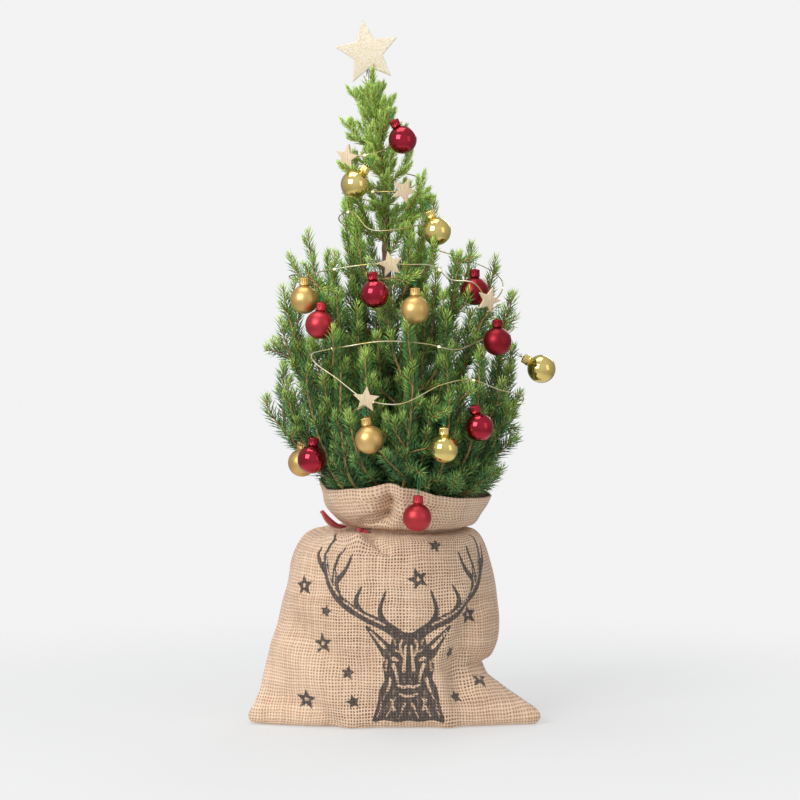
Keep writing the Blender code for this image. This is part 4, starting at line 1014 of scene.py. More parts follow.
def owner_of(tip):
    """The bough, or the leader's spray, that a shoot with this tip belongs to."""
    if tip[2] > SPRAY_START:
        return "leader_spray"
    heading = unit(np.array([tip[0] + 0.004, tip[1]]))
    scores = {}
    for name, (_, end, _) in BOUGHS.items():
        scores[name] = heading @ unit(np.array(end[:2])) - abs(end[2] - tip[2]) * 6
    return max(scores, key=scores.get)


def make_foliage():
    looks = [needle_look(), twig_look()]
    groups = {name: bough_shoots(name) for name in BOUGHS}
    groups["leader_spray"] = leader_shoots()
    hanging_twigs(groups)
    for path, plume in fill_shoots():
        foot, spacing = (0.0014, OPEN_SPACING) if plume else (0.0011, CLOSE_SPACING)
        groups[owner_of(path[-1])].append((path, foot, 0.12, spacing, 1.0))
    for line in FRONT_PLUMES:
        path = smooth_curve(line, 44)
        groups[owner_of(path[-1])].append((path, 0.0018 if len(line) > 3 else 0.0010, 0.06, 0.0140, 1.35))
    for line in COVER_SPRIGS:
        path = smooth_curve(line, 24)
        groups[owner_of(path[-1])].append((path, 0.0010, 0.20, 0.040, 1.4))
    for name, shoots in groups.items():
        make_bough(name, shoots, looks)


def make_trunk():
    path = smooth_curve([point for point, _ in TRUNK_AXIS] + [LEADER_AXIS[1]], 90)
    heights = [point[2] for point, _ in TRUNK_AXIS] + [LEADER_AXIS[1][2]]
    radii = np.interp(path[:, 2], heights, [radius for _, radius in TRUNK_AXIS] + [0.0030])
    vertices, faces = tube_mesh(path, radii, 20)
    offsets = vertices - np.repeat(path, 20, axis=0)
    height = vertices[:, 2]
    waves = np.sin(height * 330 + offsets[:, 0] * 900) + np.sin(height * 610 - offsets[:, 1] * 1300)
    vertices = vertices + offsets * (0.05 * waves)[:, None]
    trunk = array_object("trunk_bark", vertices, faces, [bark_look()])
    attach(trunk, "tree")
    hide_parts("trunk")


# ---------------------------------------------------------------- sack

# Each ring: height, left reach, right reach, half depth, corner sharpness, how far forward its corners lie
SACK_RINGS = [
    (0.0006, 0.126, 0.123, 0.068, 1.9, 0.046),
    (0.0030, 0.133, 0.130, 0.072, 1.9, 0.046),
    (0.0080, 0.135, 0.132, 0.074, 1.9, 0.046),
    (0.0180, 0.130, 0.119, 0.0755, 1.75, 0.042),
    (0.0340, 0.1245, 0.0980, 0.0775, 1.5, 0.034),
    (0.0500, 0.1195, 0.0830, 0.079, 1.35, 0.028),
    (0.0640, 0.1150, 0.0885, 0.080, 1.28, 0.024),
    (0.0810, 0.1105, 0.0940, 0.082, 1.2, 0.019),
    (0.1090, 0.1030, 0.0945, 0.084, 1.1, 0.012),
    (0.1370, 0.0960, 0.0900, 0.085, 1.0, 0.005),
    (0.1570, 0.0915, 0.0840, 0.083, 1.0, 0.001),
    (0.1680, 0.0840, 0.0790, 0.077, 1.0, 0.000),
    (0.1730, 0.0750, 0.0735, 0.070, 1.0, 0.000),
    (0.1755, 0.0500, 0.0640, 0.060, 1.0, 0.000),
    (0.1775, 0.0390, 0.0570, 0.0480, 1.0, 0.000),
    (0.1792, 0.0410, 0.0630, 0.0550, 1.0, 0.000),
    (0.1806, 0.0470, 0.0710, 0.0650, 1.0, 0.000),
    (0.1845, 0.0535, 0.0755, 0.0700, 1.0, 0.000),
    (0.1930, 0.0605, 0.0800, 0.0725, 1.0, 0.000),
    (0.2030, 0.0655, 0.0855, 0.0745, 1.0, 0.000),
    (0.2130, 0.0690, 0.0895, 0.0785, 1.0, 0.000),
]
RING_SCALE = np.array([1.0, 1.0, 1.0, 1.0, 0.02, 1.0])
BACK_ROUNDING = 0.25
NECK_HEIGHT = 0.1775
SACK_COLUMNS = 360
SACK_LEVELS = 170
CLOTH_THICK = 0.0013
UNDERSIDE = 0.0003
LOWEST_CLOTH = 0.0006
# Rings of the base, as shares of its outline, and the cloth from its middle to its edge
BASE_SHARES = (0.97, 0.80, 0.50, 0.2)
BASE_CLOTH = 0.06
# Height of the collar's rim by heading, anticlockwise from the right as seen from above
RIM_HEIGHTS = [
    (0, 0.2060), (30, 0.2090), (60, 0.2130), (90, 0.2120), (120, 0.2150), (150, 0.2190), (175, 0.2225),
    (193, 0.2200), (206, 0.2155), (222, 0.2165), (240, 0.2195), (256, 0.2235), (265, 0.2240), (276, 0.2195),
    (290, 0.2130), (306, 0.2095), (330, 0.2075), (360, 0.2060),
]
GATHER_REACH = 0.500
WARP_PITCH = 0.0028
WEFT_PITCH = 0.0028
COLLAR_START = 0.199
GATHERED_SHARE = 0.78
# Folds: points of a line as seen from the front (x, z), half width, and how far it stands out
FRONT_FOLDS = [
    ([(0.060, 0.118), (0.048, 0.090), (0.036, 0.062), (0.041, 0.030), (0.048, 0.004)], 0.0095, 0.0046),
    ([(0.070, 0.108), (0.064, 0.084), (0.056, 0.058), (0.060, 0.034)], 0.0100, -0.0060),
    ([(0.081, 0.098), (0.080, 0.078)], 0.0150, 0.0040),
    ([(0.092, 0.049), (0.078, 0.052), (0.066, 0.062)], 0.0065, -0.0065),
    ([(0.074, 0.034), (0.098, 0.021), (0.124, 0.008)], 0.0100, 0.0030),
    ([(-0.100, 0.066), (-0.066, 0.040), (-0.040, 0.008)], 0.0140, 0.0044),
    ([(-0.092, 0.094), (-0.070, 0.072), (-0.030, 0.056)], 0.0120, -0.0042),
    ([(-0.084, 0.146), (-0.086, 0.112)], 0.0100, 0.0034),
    ([(-0.066, 0.158), (-0.070, 0.128)], 0.0090, -0.0030),
    ([(-0.118, 0.028), (-0.074, 0.020), (-0.056, 0.006)], 0.0080, -0.0032),
    ([(-0.026, 0.178), (-0.018, 0.171), (-0.008, 0.163)], 0.0034, -0.0050),
    ([(-0.056, 0.177), (-0.044, 0.1775), (-0.032, 0.172)], 0.0070, 0.0125),
    ([(0.020, 0.150), (0.024, 0.110)], 0.0220, 0.0018),
    ([(-0.014, 0.120), (-0.018, 0.080)], 0.0200, -0.0014),
]
COLLAR_FOLDS = [
    ([(0.008, 0.226), (0.007, 0.212), (0.006, 0.198)], 0.0085, 0.0060),
    ([(-0.004, 0.222), (-0.005, 0.212)], 0.0060, -0.0022),
    ([(-0.0055, 0.205), (-0.0065, 0.198), (-0.0105, 0.192)], 0.0062, -0.0145),
    ([(-0.012, 0.191), (-0.026, 0.1860)], 0.0050, -0.0070),
    ([(-0.026, 0.206), (-0.040, 0.200), (-0.056, 0.204)], 0.0130, 0.0055),
    ([(0.052, 0.184), (0.056, 0.200)], 0.0120, 0.0016),
]


def ring_outline(ring, count):
    """One level's outline as points with their headings, from the back round by the right to the back."""
    _, left, right, deep, sharp, forward = ring
    centre, wide = (right - left) / 2, (right + left) / 2
    turns = np.linspace(0.5 * math.pi, -1.5 * math.pi, count)
    x = centre + wide * np.cos(turns)
    rise = np.sin(turns)
    back = np.clip(rise, 0, 1) ** (1.0 + BACK_ROUNDING * (sharp - 1.0)) * (deep + forward)
    front = -np.abs(np.clip(rise, -1, 0)) ** sharp * (deep - forward)
    return np.column_stack([x, np.where(rise > 0, back, front) - forward])


def even_outline(ring):
    """The outline at even steps of cloth: half the columns from the back to the front, half back again."""
    dense = ring_outline(ring, 1441)
    half = SACK_COLUMNS // 2
    right = resample(dense[:721], half + 1)
    left = resample(dense[720:], half + 1)
    return np.concatenate([right[:-1], left[:-1]])


def sack_levels(count):
    rings = smooth_curve([np.array(ring) * RING_SCALE for ring in SACK_RINGS], count)
    return rings / RING_SCALE


def rim_height(x, y):
    headings = np.degrees(np.arctan2(y, np.asarray(x) - 0.010)) % 360
    return np.interp(headings, [h for h, _ in RIM_HEIGHTS], [z for _, z in RIM_HEIGHTS])


def beyond_collar(points, margin):
    """Which points are below the rim and not inside the collar's opening."""
    rings = np.array(SACK_RINGS)
    z = points[:, 2]
    left = np.interp(z, rings[:, 0], rings[:, 1]) - margin - CLOTH_THICK
    right = np.interp(z, rings[:, 0], rings[:, 2]) - margin - CLOTH_THICK
    deep = np.interp(z, rings[:, 0], rings[:, 3]) - margin - CLOTH_THICK
    centre, wide = (right - left) / 2, (right + left) / 2
    share = ((points[:, 0] - centre) / wide) ** 2 + (points[:, 1] / deep) ** 2
    return (share > 1.0) & (z < rim_height(points[:, 0], points[:, 1]) + 0.0012)


def line_distance(points, line):
    """Distance in the plane from points to a line of straight runs."""
    best = np.full(len(points), 9.0)
    for start, end in zip(line, line[1:]):
        start, run = np.array(start), np.array(end) - np.array(start)
        share = np.clip(((points - start) @ run) / (run @ run), 0.0, 1.0)
        best = np.minimum(best, np.linalg.norm(points - start - share[:, None] * run, axis=1))
    return best


def wander(around, up, waves, seed_turn):
    """Soft billows: a sum of waves round the sack and up it."""
    total = np.zeros_like(around)
    for index in range(waves):
        times = 2 + index
        rise = (9.0 + 7.3 * index) * up * 4
        total += np.sin(times * around + rise + seed_turn * (index + 1) ** 1.3) / (1 + 0.45 * index)
    return total


def sack_grid():
    """Outer surface of the sack with its folds, its normals, and the length of cloth up to each level."""
    rings = sack_levels(SACK_LEVELS)
    grid = np.zeros((SACK_LEVELS, SACK_COLUMNS, 3))
    for level, ring in enumerate(rings):
        grid[level, :, :2] = even_outline(ring)
        grid[level, :, 2] = ring[0]
    cloth = run_lengths(rings[:, [0, 3]])
    collar = np.clip((grid[:, :, 2] - NECK_HEIGHT) / (SACK_RINGS[-1][0] - NECK_HEIGHT), 0.0, 1.0)
    top = rim_height(grid[:, :, 0], grid[:, :, 1])
    grid[:, :, 2] += collar * (top - SACK_RINGS[-1][0])
    along = np.roll(grid, -1, axis=1) - np.roll(grid, 1, axis=1)
    upward = np.gradient(grid, axis=0)
    normal = unit(np.cross(along, upward))
    if normal[60, 0, 1] < 0:
        normal = -normal
    around = np.broadcast_to(2 * np.pi * np.arange(SACK_COLUMNS) / SACK_COLUMNS, grid.shape[:2])
    height = grid[:, :, 2]
    front = np.clip((-grid[:, :, 1] - 0.004) / 0.020, 0.0, 1.0)
    front_face = np.column_stack([grid[:, :, 0].ravel(), height.ravel()])
    body = np.clip((NECK_HEIGHT - 0.006 - height) / 0.03, 0.0, 1.0) * np.clip(height / 0.012, 0.0, 1.0)
    quiet = 0.35 + 0.65 * (1.0 - front)
    push = 0.0008 * wander(around, height, 6, 1.7) * body * quiet
    below = np.clip((NECK_HEIGHT - 0.002 - height) / 0.006, 0.0, 1.0)
    above = np.clip((height - NECK_HEIGHT - 0.003) / 0.008, 0.0, 1.0)
    for folds, share in ((FRONT_FOLDS, below), (COLLAR_FOLDS, above)):
        for line, width, depth in folds:
            gap = line_distance(front_face, line).reshape(push.shape)
            push += depth * np.exp(-(gap / width) ** 2) * front * share
    near_neck = np.exp(-np.abs(height - NECK_HEIGHT) / 0.010)
    pleats = np.sin(23 * around + 1.1 * np.sin(3 * around))
    pleats += 0.6 * np.sin(37 * around + 2.0 + 1.4 * np.sin(2 * around))
    push += 0.0011 * pleats * near_neck * quiet
    push += 0.0013 * np.sin(7 * around + 0.9 + 0.8 * np.sin(2 * around)) * collar * quiet
    columns = np.arange(SACK_COLUMNS)
    side_gap = np.minimum(np.abs(columns - SACK_COLUMNS * 0.25), np.abs(columns - SACK_COLUMNS * 0.75))
    push += 0.0011 * np.exp(-(side_gap / 1.6) ** 2)[None, :] * np.clip(height / 0.02, 0, 1)
    grid = grid + normal * push[:, :, None]
    grid[:, :, 2] = np.maximum(grid[:, :, 2], LOWEST_CLOTH)
    return grid, normal, cloth


# The print: a plain stag's head with two matching antlers, of the builder's own drawing, and loose stars.
# Strokes are (points across and up in millimetres from the print's foot, width at the start and at the end).
ANTLER_STROKES = [
    ([(9, 84), (20, 91), (43, 102), (62, 114), (75, 129), (83, 146)], 10.0, 7.0),
    ([(82, 140), (90, 149), (93, 162)], 6.4, 2.0),
    ([(80, 140), (83, 158), (77, 174)], 7.0, 2.2),
    ([(66, 118), (70, 138), (63, 162)], 8.0, 2.2),
    ([(67, 132), (58, 143), (52, 157)], 5.6, 1.8),
    ([(43, 103), (48, 114), (43, 128)], 6.6, 2.0),
    ([(18, 90), (26, 104), (21, 124)], 6.8, 2.0),
]
ANTLER_LIGHTS = [
    ([(22, 93), (42, 102.5), (60, 114)], 2.0, 1.6),
    ([(65, 119), (74, 130), (80, 143)], 1.8, 1.4),
    ([(69, 124), (70, 138), (65, 152)], 1.5, 0.8),
    ([(81, 146), (82, 156), (79, 165)], 1.3, 0.8),
]
EAR_STROKE = ([(19, 68), (27, 78), (38, 91)], 13.0, 3.0)
HEAD_OUTLINE = [
    (0, 86), (9, 86), (14, 83), (17, 74), (20, 65), (23.5, 56), (22.5, 47), (22, 42), (26, 34), (28, 24),
    (30, 14), (33, 3), (22, 4.5), (11, 2.5), (0, 4),
]
HEAD_LIGHTS = [
    ([(16.5, 63), (10, 60)], 4.0, 2.4),
    ([(14.5, 70), (8, 68)], 2.2, 1.6),
    ([(14, 56), (11, 47), (10, 40)], 3.4, 1.8),
    ([(5.5, 81), (8.0, 74), (6, 64)], 2.4, 1.6),
    ([(2.6, 74), (3.6, 62), (4.6, 50)], 2.0, 3.0),
    ([(13, 80), (12, 74)], 1.8, 1.2),
    ([(16.5, 42), (19, 32)], 2.6, 2.0),
    ([(3, 20), (6, 14)], 2.2, 1.4),
    ([(16, 24), (13, 14)], 1.8, 2.2),
    ([(21, 50), (20, 60)], 1.4, 1.6),
    ([(10, 37), (5, 35), (0, 36)], 2.0, 2.4),
    ([(8, 29), (4, 27), (0, 27)], 2.0, 2.0),
    ([(17, 44), (19, 34), (23, 24)], 1.4, 1.2),
    ([(12, 26), (16, 16), (20, 8)], 1.2, 1.6),
    ([(5, 18), (7, 11), (9, 6)], 1.4, 1.2),
    ([(25, 22), (26, 14), (28, 8)], 1.0, 1.4),
    ([(22, 72), (28, 79), (35, 87)], 3.2, 1.2),
]
STARS = [
    (-91, 125, 11.0, 10), (-65, 104, 7.2, -14), (-68, 74, 11.4, 6), (-43, 48, 8.0, -8), (-38, 22, 8.0, 12),
    (-84, 22, 11.4, -5), (21, 135, 11.6, 18), (38, 165, 8.6, -10), (77, 99, 11.0, 9), (55, 65, 8.2, 20),
    (88, 39, 11.6, -12), (60, 25, 8.2, 15),
]
HEAD_ACROSS = 12.5
PRINT_FOOT = 0.006
# A distance that stands for no ink nearby, and the reach of the print from the front's middle
FAR_MM = 60.0
PRINTED_REACH = 0.20


def stroke_distance(points, stroke):
    """Signed distance in millimetres to a tapering brush stroke."""
    line, start_width, end_width = stroke
    line = np.array(line, float)
    lengths = run_lengths(line)
    best = np.full(len(points), FAR_MM)
    for index, (start, run) in enumerate(zip(line, np.diff(line, axis=0))):
        share = np.clip(((points - start) @ run) / (run @ run), 0.0, 1.0)
        gap = np.linalg.norm(points - start - share[:, None] * run, axis=1)
        place = (lengths[index] + share * (lengths[index + 1] - lengths[index])) / lengths[-1]
        best = np.minimum(best, gap - (start_width + (end_width - start_width) * place) / 2)
    return best


def outline_distance(points, outline):
    """Signed distance in millimetres to a closed outline, below zero inside it."""
    closed = list(outline) + [outline[0]]
    inside = np.zeros(len(points), bool)
    for (ax, ay), (bx, by) in zip(closed, closed[1:]):
        crosses = (points[:, 1] < ay) != (points[:, 1] < by)
        if ay != by:
            inside ^= crosses & (points[:, 0] < ax + (points[:, 1] - ay) * (bx - ax) / (by - ay))
    edge = line_distance(points, closed)
    return np.where(inside, -edge, edge)


def print_distance(points):
    """Signed distance in millimetres from the sack's cloth points (across, up) to the print's ink."""
    head = points - np.array([HEAD_ACROSS, 0.0])
    folded = np.column_stack([np.abs(head[:, 0]), head[:, 1]])
    curve = smooth_curve(HEAD_OUTLINE, 60)
    mirrored = [tuple(p) for p in curve] + [(-x, y) for x, y in curve[-2:0:-1]]
    ink = outline_distance(head, mirrored)
    for light in HEAD_LIGHTS:
        ink = np.maximum(ink, -stroke_distance(folded, light))
    ear = stroke_distance(folded, EAR_STROKE)
    ear = np.maximum(ear, -stroke_distance(folded, HEAD_LIGHTS[-1]))
    ink = np.minimum(ink, ear)
    for stroke in ANTLER_STROKES:
        line = [tuple(p) for p in smooth_curve(stroke[0], 26)]
        ink = np.minimum(ink, stroke_distance(folded, (line, stroke[1], stroke[2])))
    for light in ANTLER_LIGHTS:
        ink = np.maximum(ink, -stroke_distance(folded, light))
    for across, up, size, turn in STARS:
        outline = []
        for step in range(10):
            reach = size if step % 2 == 0 else size * 0.40
            angle = math.radians(90 + turn + 36 * step)
            outline.append((across + reach * math.cos(angle), up + reach * math.sin(angle)))
        star = outline_distance(points, outline)
        if size > 8:
            star = np.maximum(star, -(star + 2.9))
        ink = np.minimum(ink, star)
    return ink


def jute_look():
    look = Look("jute_look", roughness=0.92)
    cloth_place = look.node("UVMap", uv_map="cloth").outputs["UV"]
    parts = look.node("SeparateXYZ", {"Vector": cloth_place}).outputs

    def stained(scale, detail=2.0, output="Fac", spot=cloth_place):
        return look.noise(scale, detail, spot, output=output)

    soft = look.node("SeparateColor", {"Color": stained(34.0, output="Color")})
    fine = look.node("SeparateColor", {"Color": stained(230.0, output="Color")})
    above = look.math("GREATER_THAN", parts["Y"], COLLAR_START)
    gathered = look.math("MULTIPLY_ADD", above, GATHERED_SHARE - 1.0, 1.0)
    threads, masks = {}, {}
    for axis, pitch, channel, stretch in (
        ("X", WARP_PITCH, "Red", (410.0, 60.0, 1.0)),
        ("Y", WEFT_PITCH, "Green", (60.0, 300.0, 1.0)),
    ):
        place = look.math("DIVIDE", parts[axis], pitch)
        if axis == "X":
            place = look.math("MULTIPLY", place, gathered)
        place = look.math("MULTIPLY_ADD", soft.outputs[channel], 1.8, place)
        place = look.math("MULTIPLY_ADD", fine.outputs[channel], 0.42, place)
        threads[axis] = look.math("FLOOR", place)
        off_middle = look.math("ABSOLUTE", look.math("SUBTRACT", look.math("FRACT", place), 0.5))
        slub = stained(1.0, spot=look.stretched(cloth_place, stretch))
        half = look.spread(slub, 0.25, 0.75, 0.200, 0.340, smooth=False)
        masks[axis] = look.spread(look.math("SUBTRACT", half, off_middle), -0.06, 0.10)
    checker = look.math("PINGPONG", look.math("ADD", threads["X"], threads["Y"]), 1.0)
    hole = look.math("SUBTRACT", 1.0, look.math("MAXIMUM", masks["X"], masks["Y"]))
    crown_x = look.product(masks["X"], look.spread(checker, 0.0, 1.0, 0.88, 1.0, smooth=False))
    crown_y = look.product(masks["Y"], look.spread(checker, 0.0, 1.0, 1.0, 0.88, smooth=False))
    height = look.math("MAXIMUM", crown_x, crown_y)
    fibre = stained(2300.0)
    tone = look.math("MULTIPLY_ADD", fibre, 0.34, look.product(stained(13.0, 3.0), 0.36))
    # Painted shade: threads are lighter on their crowns and darker down their sides and where they pass
    # under.
    tone = look.math("ADD", tone, look.product(height, 0.30))
    for axis, own in (("X", 11.5), ("Y", 47.5)):
        dye = look.spread(look.chance(threads[axis], own), 0.0, 1.0, -0.055, 0.055, smooth=False)
        tone = look.math("ADD", tone, dye)
    cloth = look.ramp(tone, [
        (0.30, (0.400, 0.245, 0.150)), (0.58, (0.700, 0.480, 0.322)), (0.88, (0.880, 0.670, 0.490)),
    ])
    # Painted shade: the holes are painted dark brown for the sack's shaded inside seen through them. This
    # shade is weaker towards the far left and right, on the collar and at the foot. It also varies in patches
    # and from hole to hole.
    leftward = look.spread(parts["X"], -0.085, -0.030, 0.30, 1.0)
    rightward = look.spread(parts["X"], 0.060, 0.105, 1.0, 0.40)
    hole_shade_strength = look.product(
        look.spread(stained(30.0), 0.38, 0.62, 0.42, 1.0),
        look.product(leftward, rightward),
        look.spread(parts["Y"], 0.196, 0.202, 1.0, 0.46),
        look.spread(parts["Y"], 0.003, 0.010, 0.25, 1.0),
        look.spread(look.chance(threads["X"], threads["Y"]), 0.0, 1.0, 0.45, 1.55, smooth=False))
    cloth = look.mix(look.product(hole, hole_shade_strength), cloth, (0.125, 0.060, 0.028))
    ink_gap = look.attribute("ink")
    gap = look.math("MULTIPLY_ADD", stained(700.0), 1.9, ink_gap)
    inked = look.spread(gap, 0.55, 1.25, 1.0, 0.0)
    streak = stained(1.0, 3.0, spot=look.stretched(cloth_place, (330.0, 105.0, 1.0), 0.35))
    worn = look.spread(streak, 0.52, 0.66, 0.97, 0.34)
    deep = look.spread(ink_gap, -7.0, -1.0, 1.0, 0.0)
    worn = look.math("MAXIMUM", worn, look.spread(deep, 0.0, 1.0, 0.90, 0.50, smooth=False))
    # Ink colour with painted shade: the ink is darker down the threads' sides and in the holes than on the
    # crowns.
    ink_and_relief_shade = look.ramp(height, [(0.2, (0.022, 0.016, 0.014)), (0.9, (0.074, 0.055, 0.047))])
    look.feed("Base Color", look.mix(look.product(inked, worn), cloth, ink_and_relief_shade))
    look.bump(look.math("MULTIPLY_ADD", fibre, 0.12, height), 0.0006, 0.7)
    look.set("Sheen Weight", 0.12)
    look.set("Sheen Roughness", 0.6)
    return look.material


def cloth_across(rows):
    """Cloth's place round the sack, in metres from its front's middle, and the way round at each row."""
    across = np.zeros((len(rows), SACK_COLUMNS))
    wraps = np.zeros(len(rows))
    half = SACK_COLUMNS // 2
    for index, row in enumerate(rows):
        along = run_lengths(np.concatenate([row, row[:1]]))
        near = slice(half - half // 2, half + half // 2)
        middle = np.interp(0.0, -row[near, 0], along[:-1][near])
        gather = np.clip(GATHER_REACH / along[-1], 1.0, 1.5)
        across[index] = (middle - along[:-1]) * gather
        wraps[index] = along[-1] * gather
    return across, wraps


def drawn_in(ring, middle, share, height):
    """A ring of the sack's base, drawn in towards its middle and laid flat."""
    ring = middle + (ring - middle) * share
    ring[:, 2] = height
    return ring


def sack_triangles(rows, columns):
    """Triangles between the rings, and from the first and the last to a point each in the middle."""
    step = np.arange(columns)
    after = (step + 1) % columns
    triangles = []
    for low in range(0, (rows - 1) * columns, columns):
        high = low + columns
        triangles.append(np.column_stack([low + step, high + after, low + after]))
        triangles.append(np.column_stack([low + step, high + step, high + after]))
    bottom, last = rows * columns, (rows - 1) * columns
    triangles.append(np.column_stack([np.full(columns, bottom), step, after]))
    triangles.append(np.column_stack([np.full(columns, bottom + 1), last + after, last + step]))
    return np.concatenate(triangles)


def make_sack():
    """The sack: its base from the middle out, its outside up to the rim, and its inside down again."""
    outer, normal, cloth = sack_grid()
    levels, columns = outer.shape[:2]
    inner_levels = [i for i in range(levels) if outer[i, 0, 2] > 0.19 and i % 2 == 0 or i % 8 == 4]
    inner_levels = sorted(set(inner_levels + [levels - 1]), reverse=True)
    inner = (outer - normal * CLOTH_THICK)[inner_levels]
    inner[:, :, 2] = np.maximum(inner[:, :, 2], LOWEST_CLOTH + CLOTH_THICK)
    middle = np.array([outer[0, :, 0].mean(), outer[0, :, 1].mean(), 0.0])
    floor_height = UNDERSIDE + CLOTH_THICK
    under = [drawn_in(outer[0], middle, share, UNDERSIDE) for share in BASE_SHARES[::-1]]
    floor = [drawn_in(inner[-1], middle, share, floor_height) for share in BASE_SHARES]
    rows = under + list(outer) + list(inner) + floor
    heights = [-BASE_CLOTH * (1 - share) for share in BASE_SHARES[::-1]] + list(cloth)
    heights += [cloth[i] for i in inner_levels] + [0.0] * len(BASE_SHARES)
    points = np.concatenate(rows + [middle[None] + UP * UNDERSIDE, middle[None] + UP * floor_height])
    triangles = sack_triangles(len(rows), columns)
    across, wraps = cloth_across(rows)
    u = np.concatenate([across.ravel(), [0.0, 0.0]])
    v = np.concatenate([np.repeat(heights, columns), [-BASE_CLOTH, -BASE_CLOTH]])
    sack = array_object("jute_sack", points, triangles, [jute_look()])
    outside = np.arange(len(under) * columns, (len(under) + levels) * columns)
    outside = outside[np.abs(u[outside]) <= PRINTED_REACH]
    ink = np.full(len(points), FAR_MM)
    ink[outside] = print_distance(np.column_stack([u[outside], v[outside] - PRINT_FOOT]) * 1000)
    write_values(sack, "ink", ink)
    # Faces that close the ring take the seam's far side for the corners in the first column
    corners = triangles.ravel()
    on_cloth = corners < len(rows) * columns
    first_column = on_cloth & (corners % columns == 0)
    last_column = on_cloth & (corners % columns == columns - 1)
    seam = first_column.reshape(-1, 3).any(axis=1) & last_column.reshape(-1, 3).any(axis=1)
    wrap = np.repeat(seam, 3) & first_column
    corner_u = u[corners]
    corner_u[wrap] -= wraps[corners[wrap] // columns]
    layer = sack.data.uv_layers.new(name="cloth")
    layer.data.foreach_set("uv", np.column_stack([corner_u, v[corners]]).astype(np.float32).ravel())
    sack.data.update()
    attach(sack, "tree")
    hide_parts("sack")


# ---------------------------------------------------------------- ribbon

RIBBON_WIDE = 0.0050
RIBBON_THICK = 0.0011
KNOT = np.array([-0.0300, -0.0385, 0.1778])
# Outline of its section, as shares of its width and thickness
RIBBON_PROFILE = [(-0.5, -0.35), (-0.46, 0.5), (0.0, 0.62), (0.46, 0.5), (0.5, -0.35), (0.0, -0.5)]
# The two tails' lines and widths
RIBBON_TAILS = [
    ([(-0.0460, -0.0240, 0.1790), (-0.0530, -0.0330, 0.1815), (-0.0600, -0.0420, 0.1880),
      (-0.0672, -0.0440, 0.1960)], 0.0050),
    ([(-0.0480, -0.0250, 0.1785), (-0.0560, -0.0400, 0.1815), (-0.0625, -0.0450, 0.1870),
      (-0.0672, -0.0443, 0.1958)], 0.0032),
]


def ribbon_look():
    look = Look("ribbon_look", roughness=0.34)
    wave = {"Vector": look.place(), "Scale": 900.0, "Distortion": 1.2}
    ribs = look.node("TexWave", wave, bands_direction="Z").outputs["Fac"]
    soft = look.noise(70.0, 2.0)
    tone = look.math("MULTIPLY_ADD", ribs, 0.25, soft)
    look.feed("Base Color", look.ramp(tone, [(0.35, (0.300, 0.008, 0.020)), (0.90, (0.620, 0.035, 0.055))]))
    look.bump(ribs, 0.00008, 0.6)
    look.set("Sheen Weight", 0.4)
    look.set("Anisotropic", 0.4)
    return look.material


def ribbon_strip(path, across, width, closed=False):
    """A flat band along a path. across points along its width; a closed band needs no ends."""
    ahead = unit(np.gradient(path, axis=0))
    across = unit(across - ahead * (across * ahead).sum(axis=1)[:, None])
    through = np.cross(ahead, across)
    rings = [path + across * (a * width) + through * (b * RIBBON_THICK) for a, b in RIBBON_PROFILE]
    sides = len(RIBBON_PROFILE)
    triangles = lattice(len(path), sides) + ([] if closed else end_caps(len(path), sides))
    return np.stack(rings, axis=1).reshape(-1, 3), triangles


def make_ribbon():
    rings = sack_levels(400)
    neck = rings[int(np.argmin(np.abs(rings[:, 0] - NECK_HEIGHT)))]
    outline = even_outline(neck)
    outward = unit(outline - outline.mean(axis=0))
    headings = 2 * np.pi * np.arange(len(outline)) / len(outline)
    loop = np.column_stack([outline + outward * 0.0012, NECK_HEIGHT + 0.0004 * np.sin(3 * headings)])
    ribbon_parts = Parts()
    ribbon_parts.add(ribbon_strip(np.concatenate([loop, loop[:1]]), UP, RIBBON_WIDE * 0.6, closed=True))
    away = unit(np.array([-0.82, -0.57, 0.0]))
    aside = np.array([-away[1], away[0], 0.0])
    # From the knot: aside, away from the sack and up, in millimetres
    loops_and_knot = [
        ([(0, 0, 0), (-4, 2, 0), (-8, 1, -0.5), (-5, 0.5, -1.5), (0, 0, -1)], away + UP * 0.5, 0.0034),
        ([(0, 0, 0), (5, 1, 0), (10, -1, -1), (6, 0, -2), (0, 0, -1)], away + UP * 0.5, 0.0034),
        ([(0, 0.5, -3), (0, 2.8, -2), (0, 3, 2), (0, 0.5, 3)], aside, 0.0060),
    ]
    bands = [(line, UP * 0.6 + aside, width) for line, width in RIBBON_TAILS]
    for steps, across, width in loops_and_knot:
        line = [KNOT + (aside * a + away * b + UP * c) / 1000 for a, b, c in steps]
        bands.append((line, across, width))
    for line, across, width in bands:
        ribbon_parts.add(ribbon_strip(smooth_curve(line, 40), across, width))
    ribbon = ribbon_parts.joined("satin_ribbon", [ribbon_look()])
    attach(ribbon, "tree")
    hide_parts("ribbon_tie")


# ---------------------------------------------------------------- baubles

# The darker red on balls 7 and 9 is a darker copy of the red. On ball 7, which hangs partly behind needles,
# it is painted shade. On ball 9 it is a deeper red.
BAUBLE_FINISHES = [
    "gloss_red", "gloss_gold", "gloss_gold", "matte_gold", "gloss_red", "matte_gold", "dark_red", "matte_red",
    "dark_red", "gloss_gold", "matte_gold", "gloss_red", "matte_gold", "gloss_gold", "gloss_red", "matte_red",
]
BAUBLE_NUMBERS = range(1, len(BAUBLE_FINISHES) + 1)
BAUBLE_COLOURS = {
    "gloss_red": ((0.330, 0.006, 0.020), (0.470, 0.012, 0.036)),
    "dark_red": ((0.220, 0.008, 0.016), (0.300, 0.014, 0.024)),
    "matte_red": ((0.440, 0.034, 0.044), (0.560, 0.046, 0.058)),
    "gloss_gold": ((0.760, 0.580, 0.160), (0.880, 0.710, 0.260)),
    "matte_gold": ((0.640, 0.400, 0.130), (0.760, 0.500, 0.190)),
}
BALL_RADIUS = 0.0129
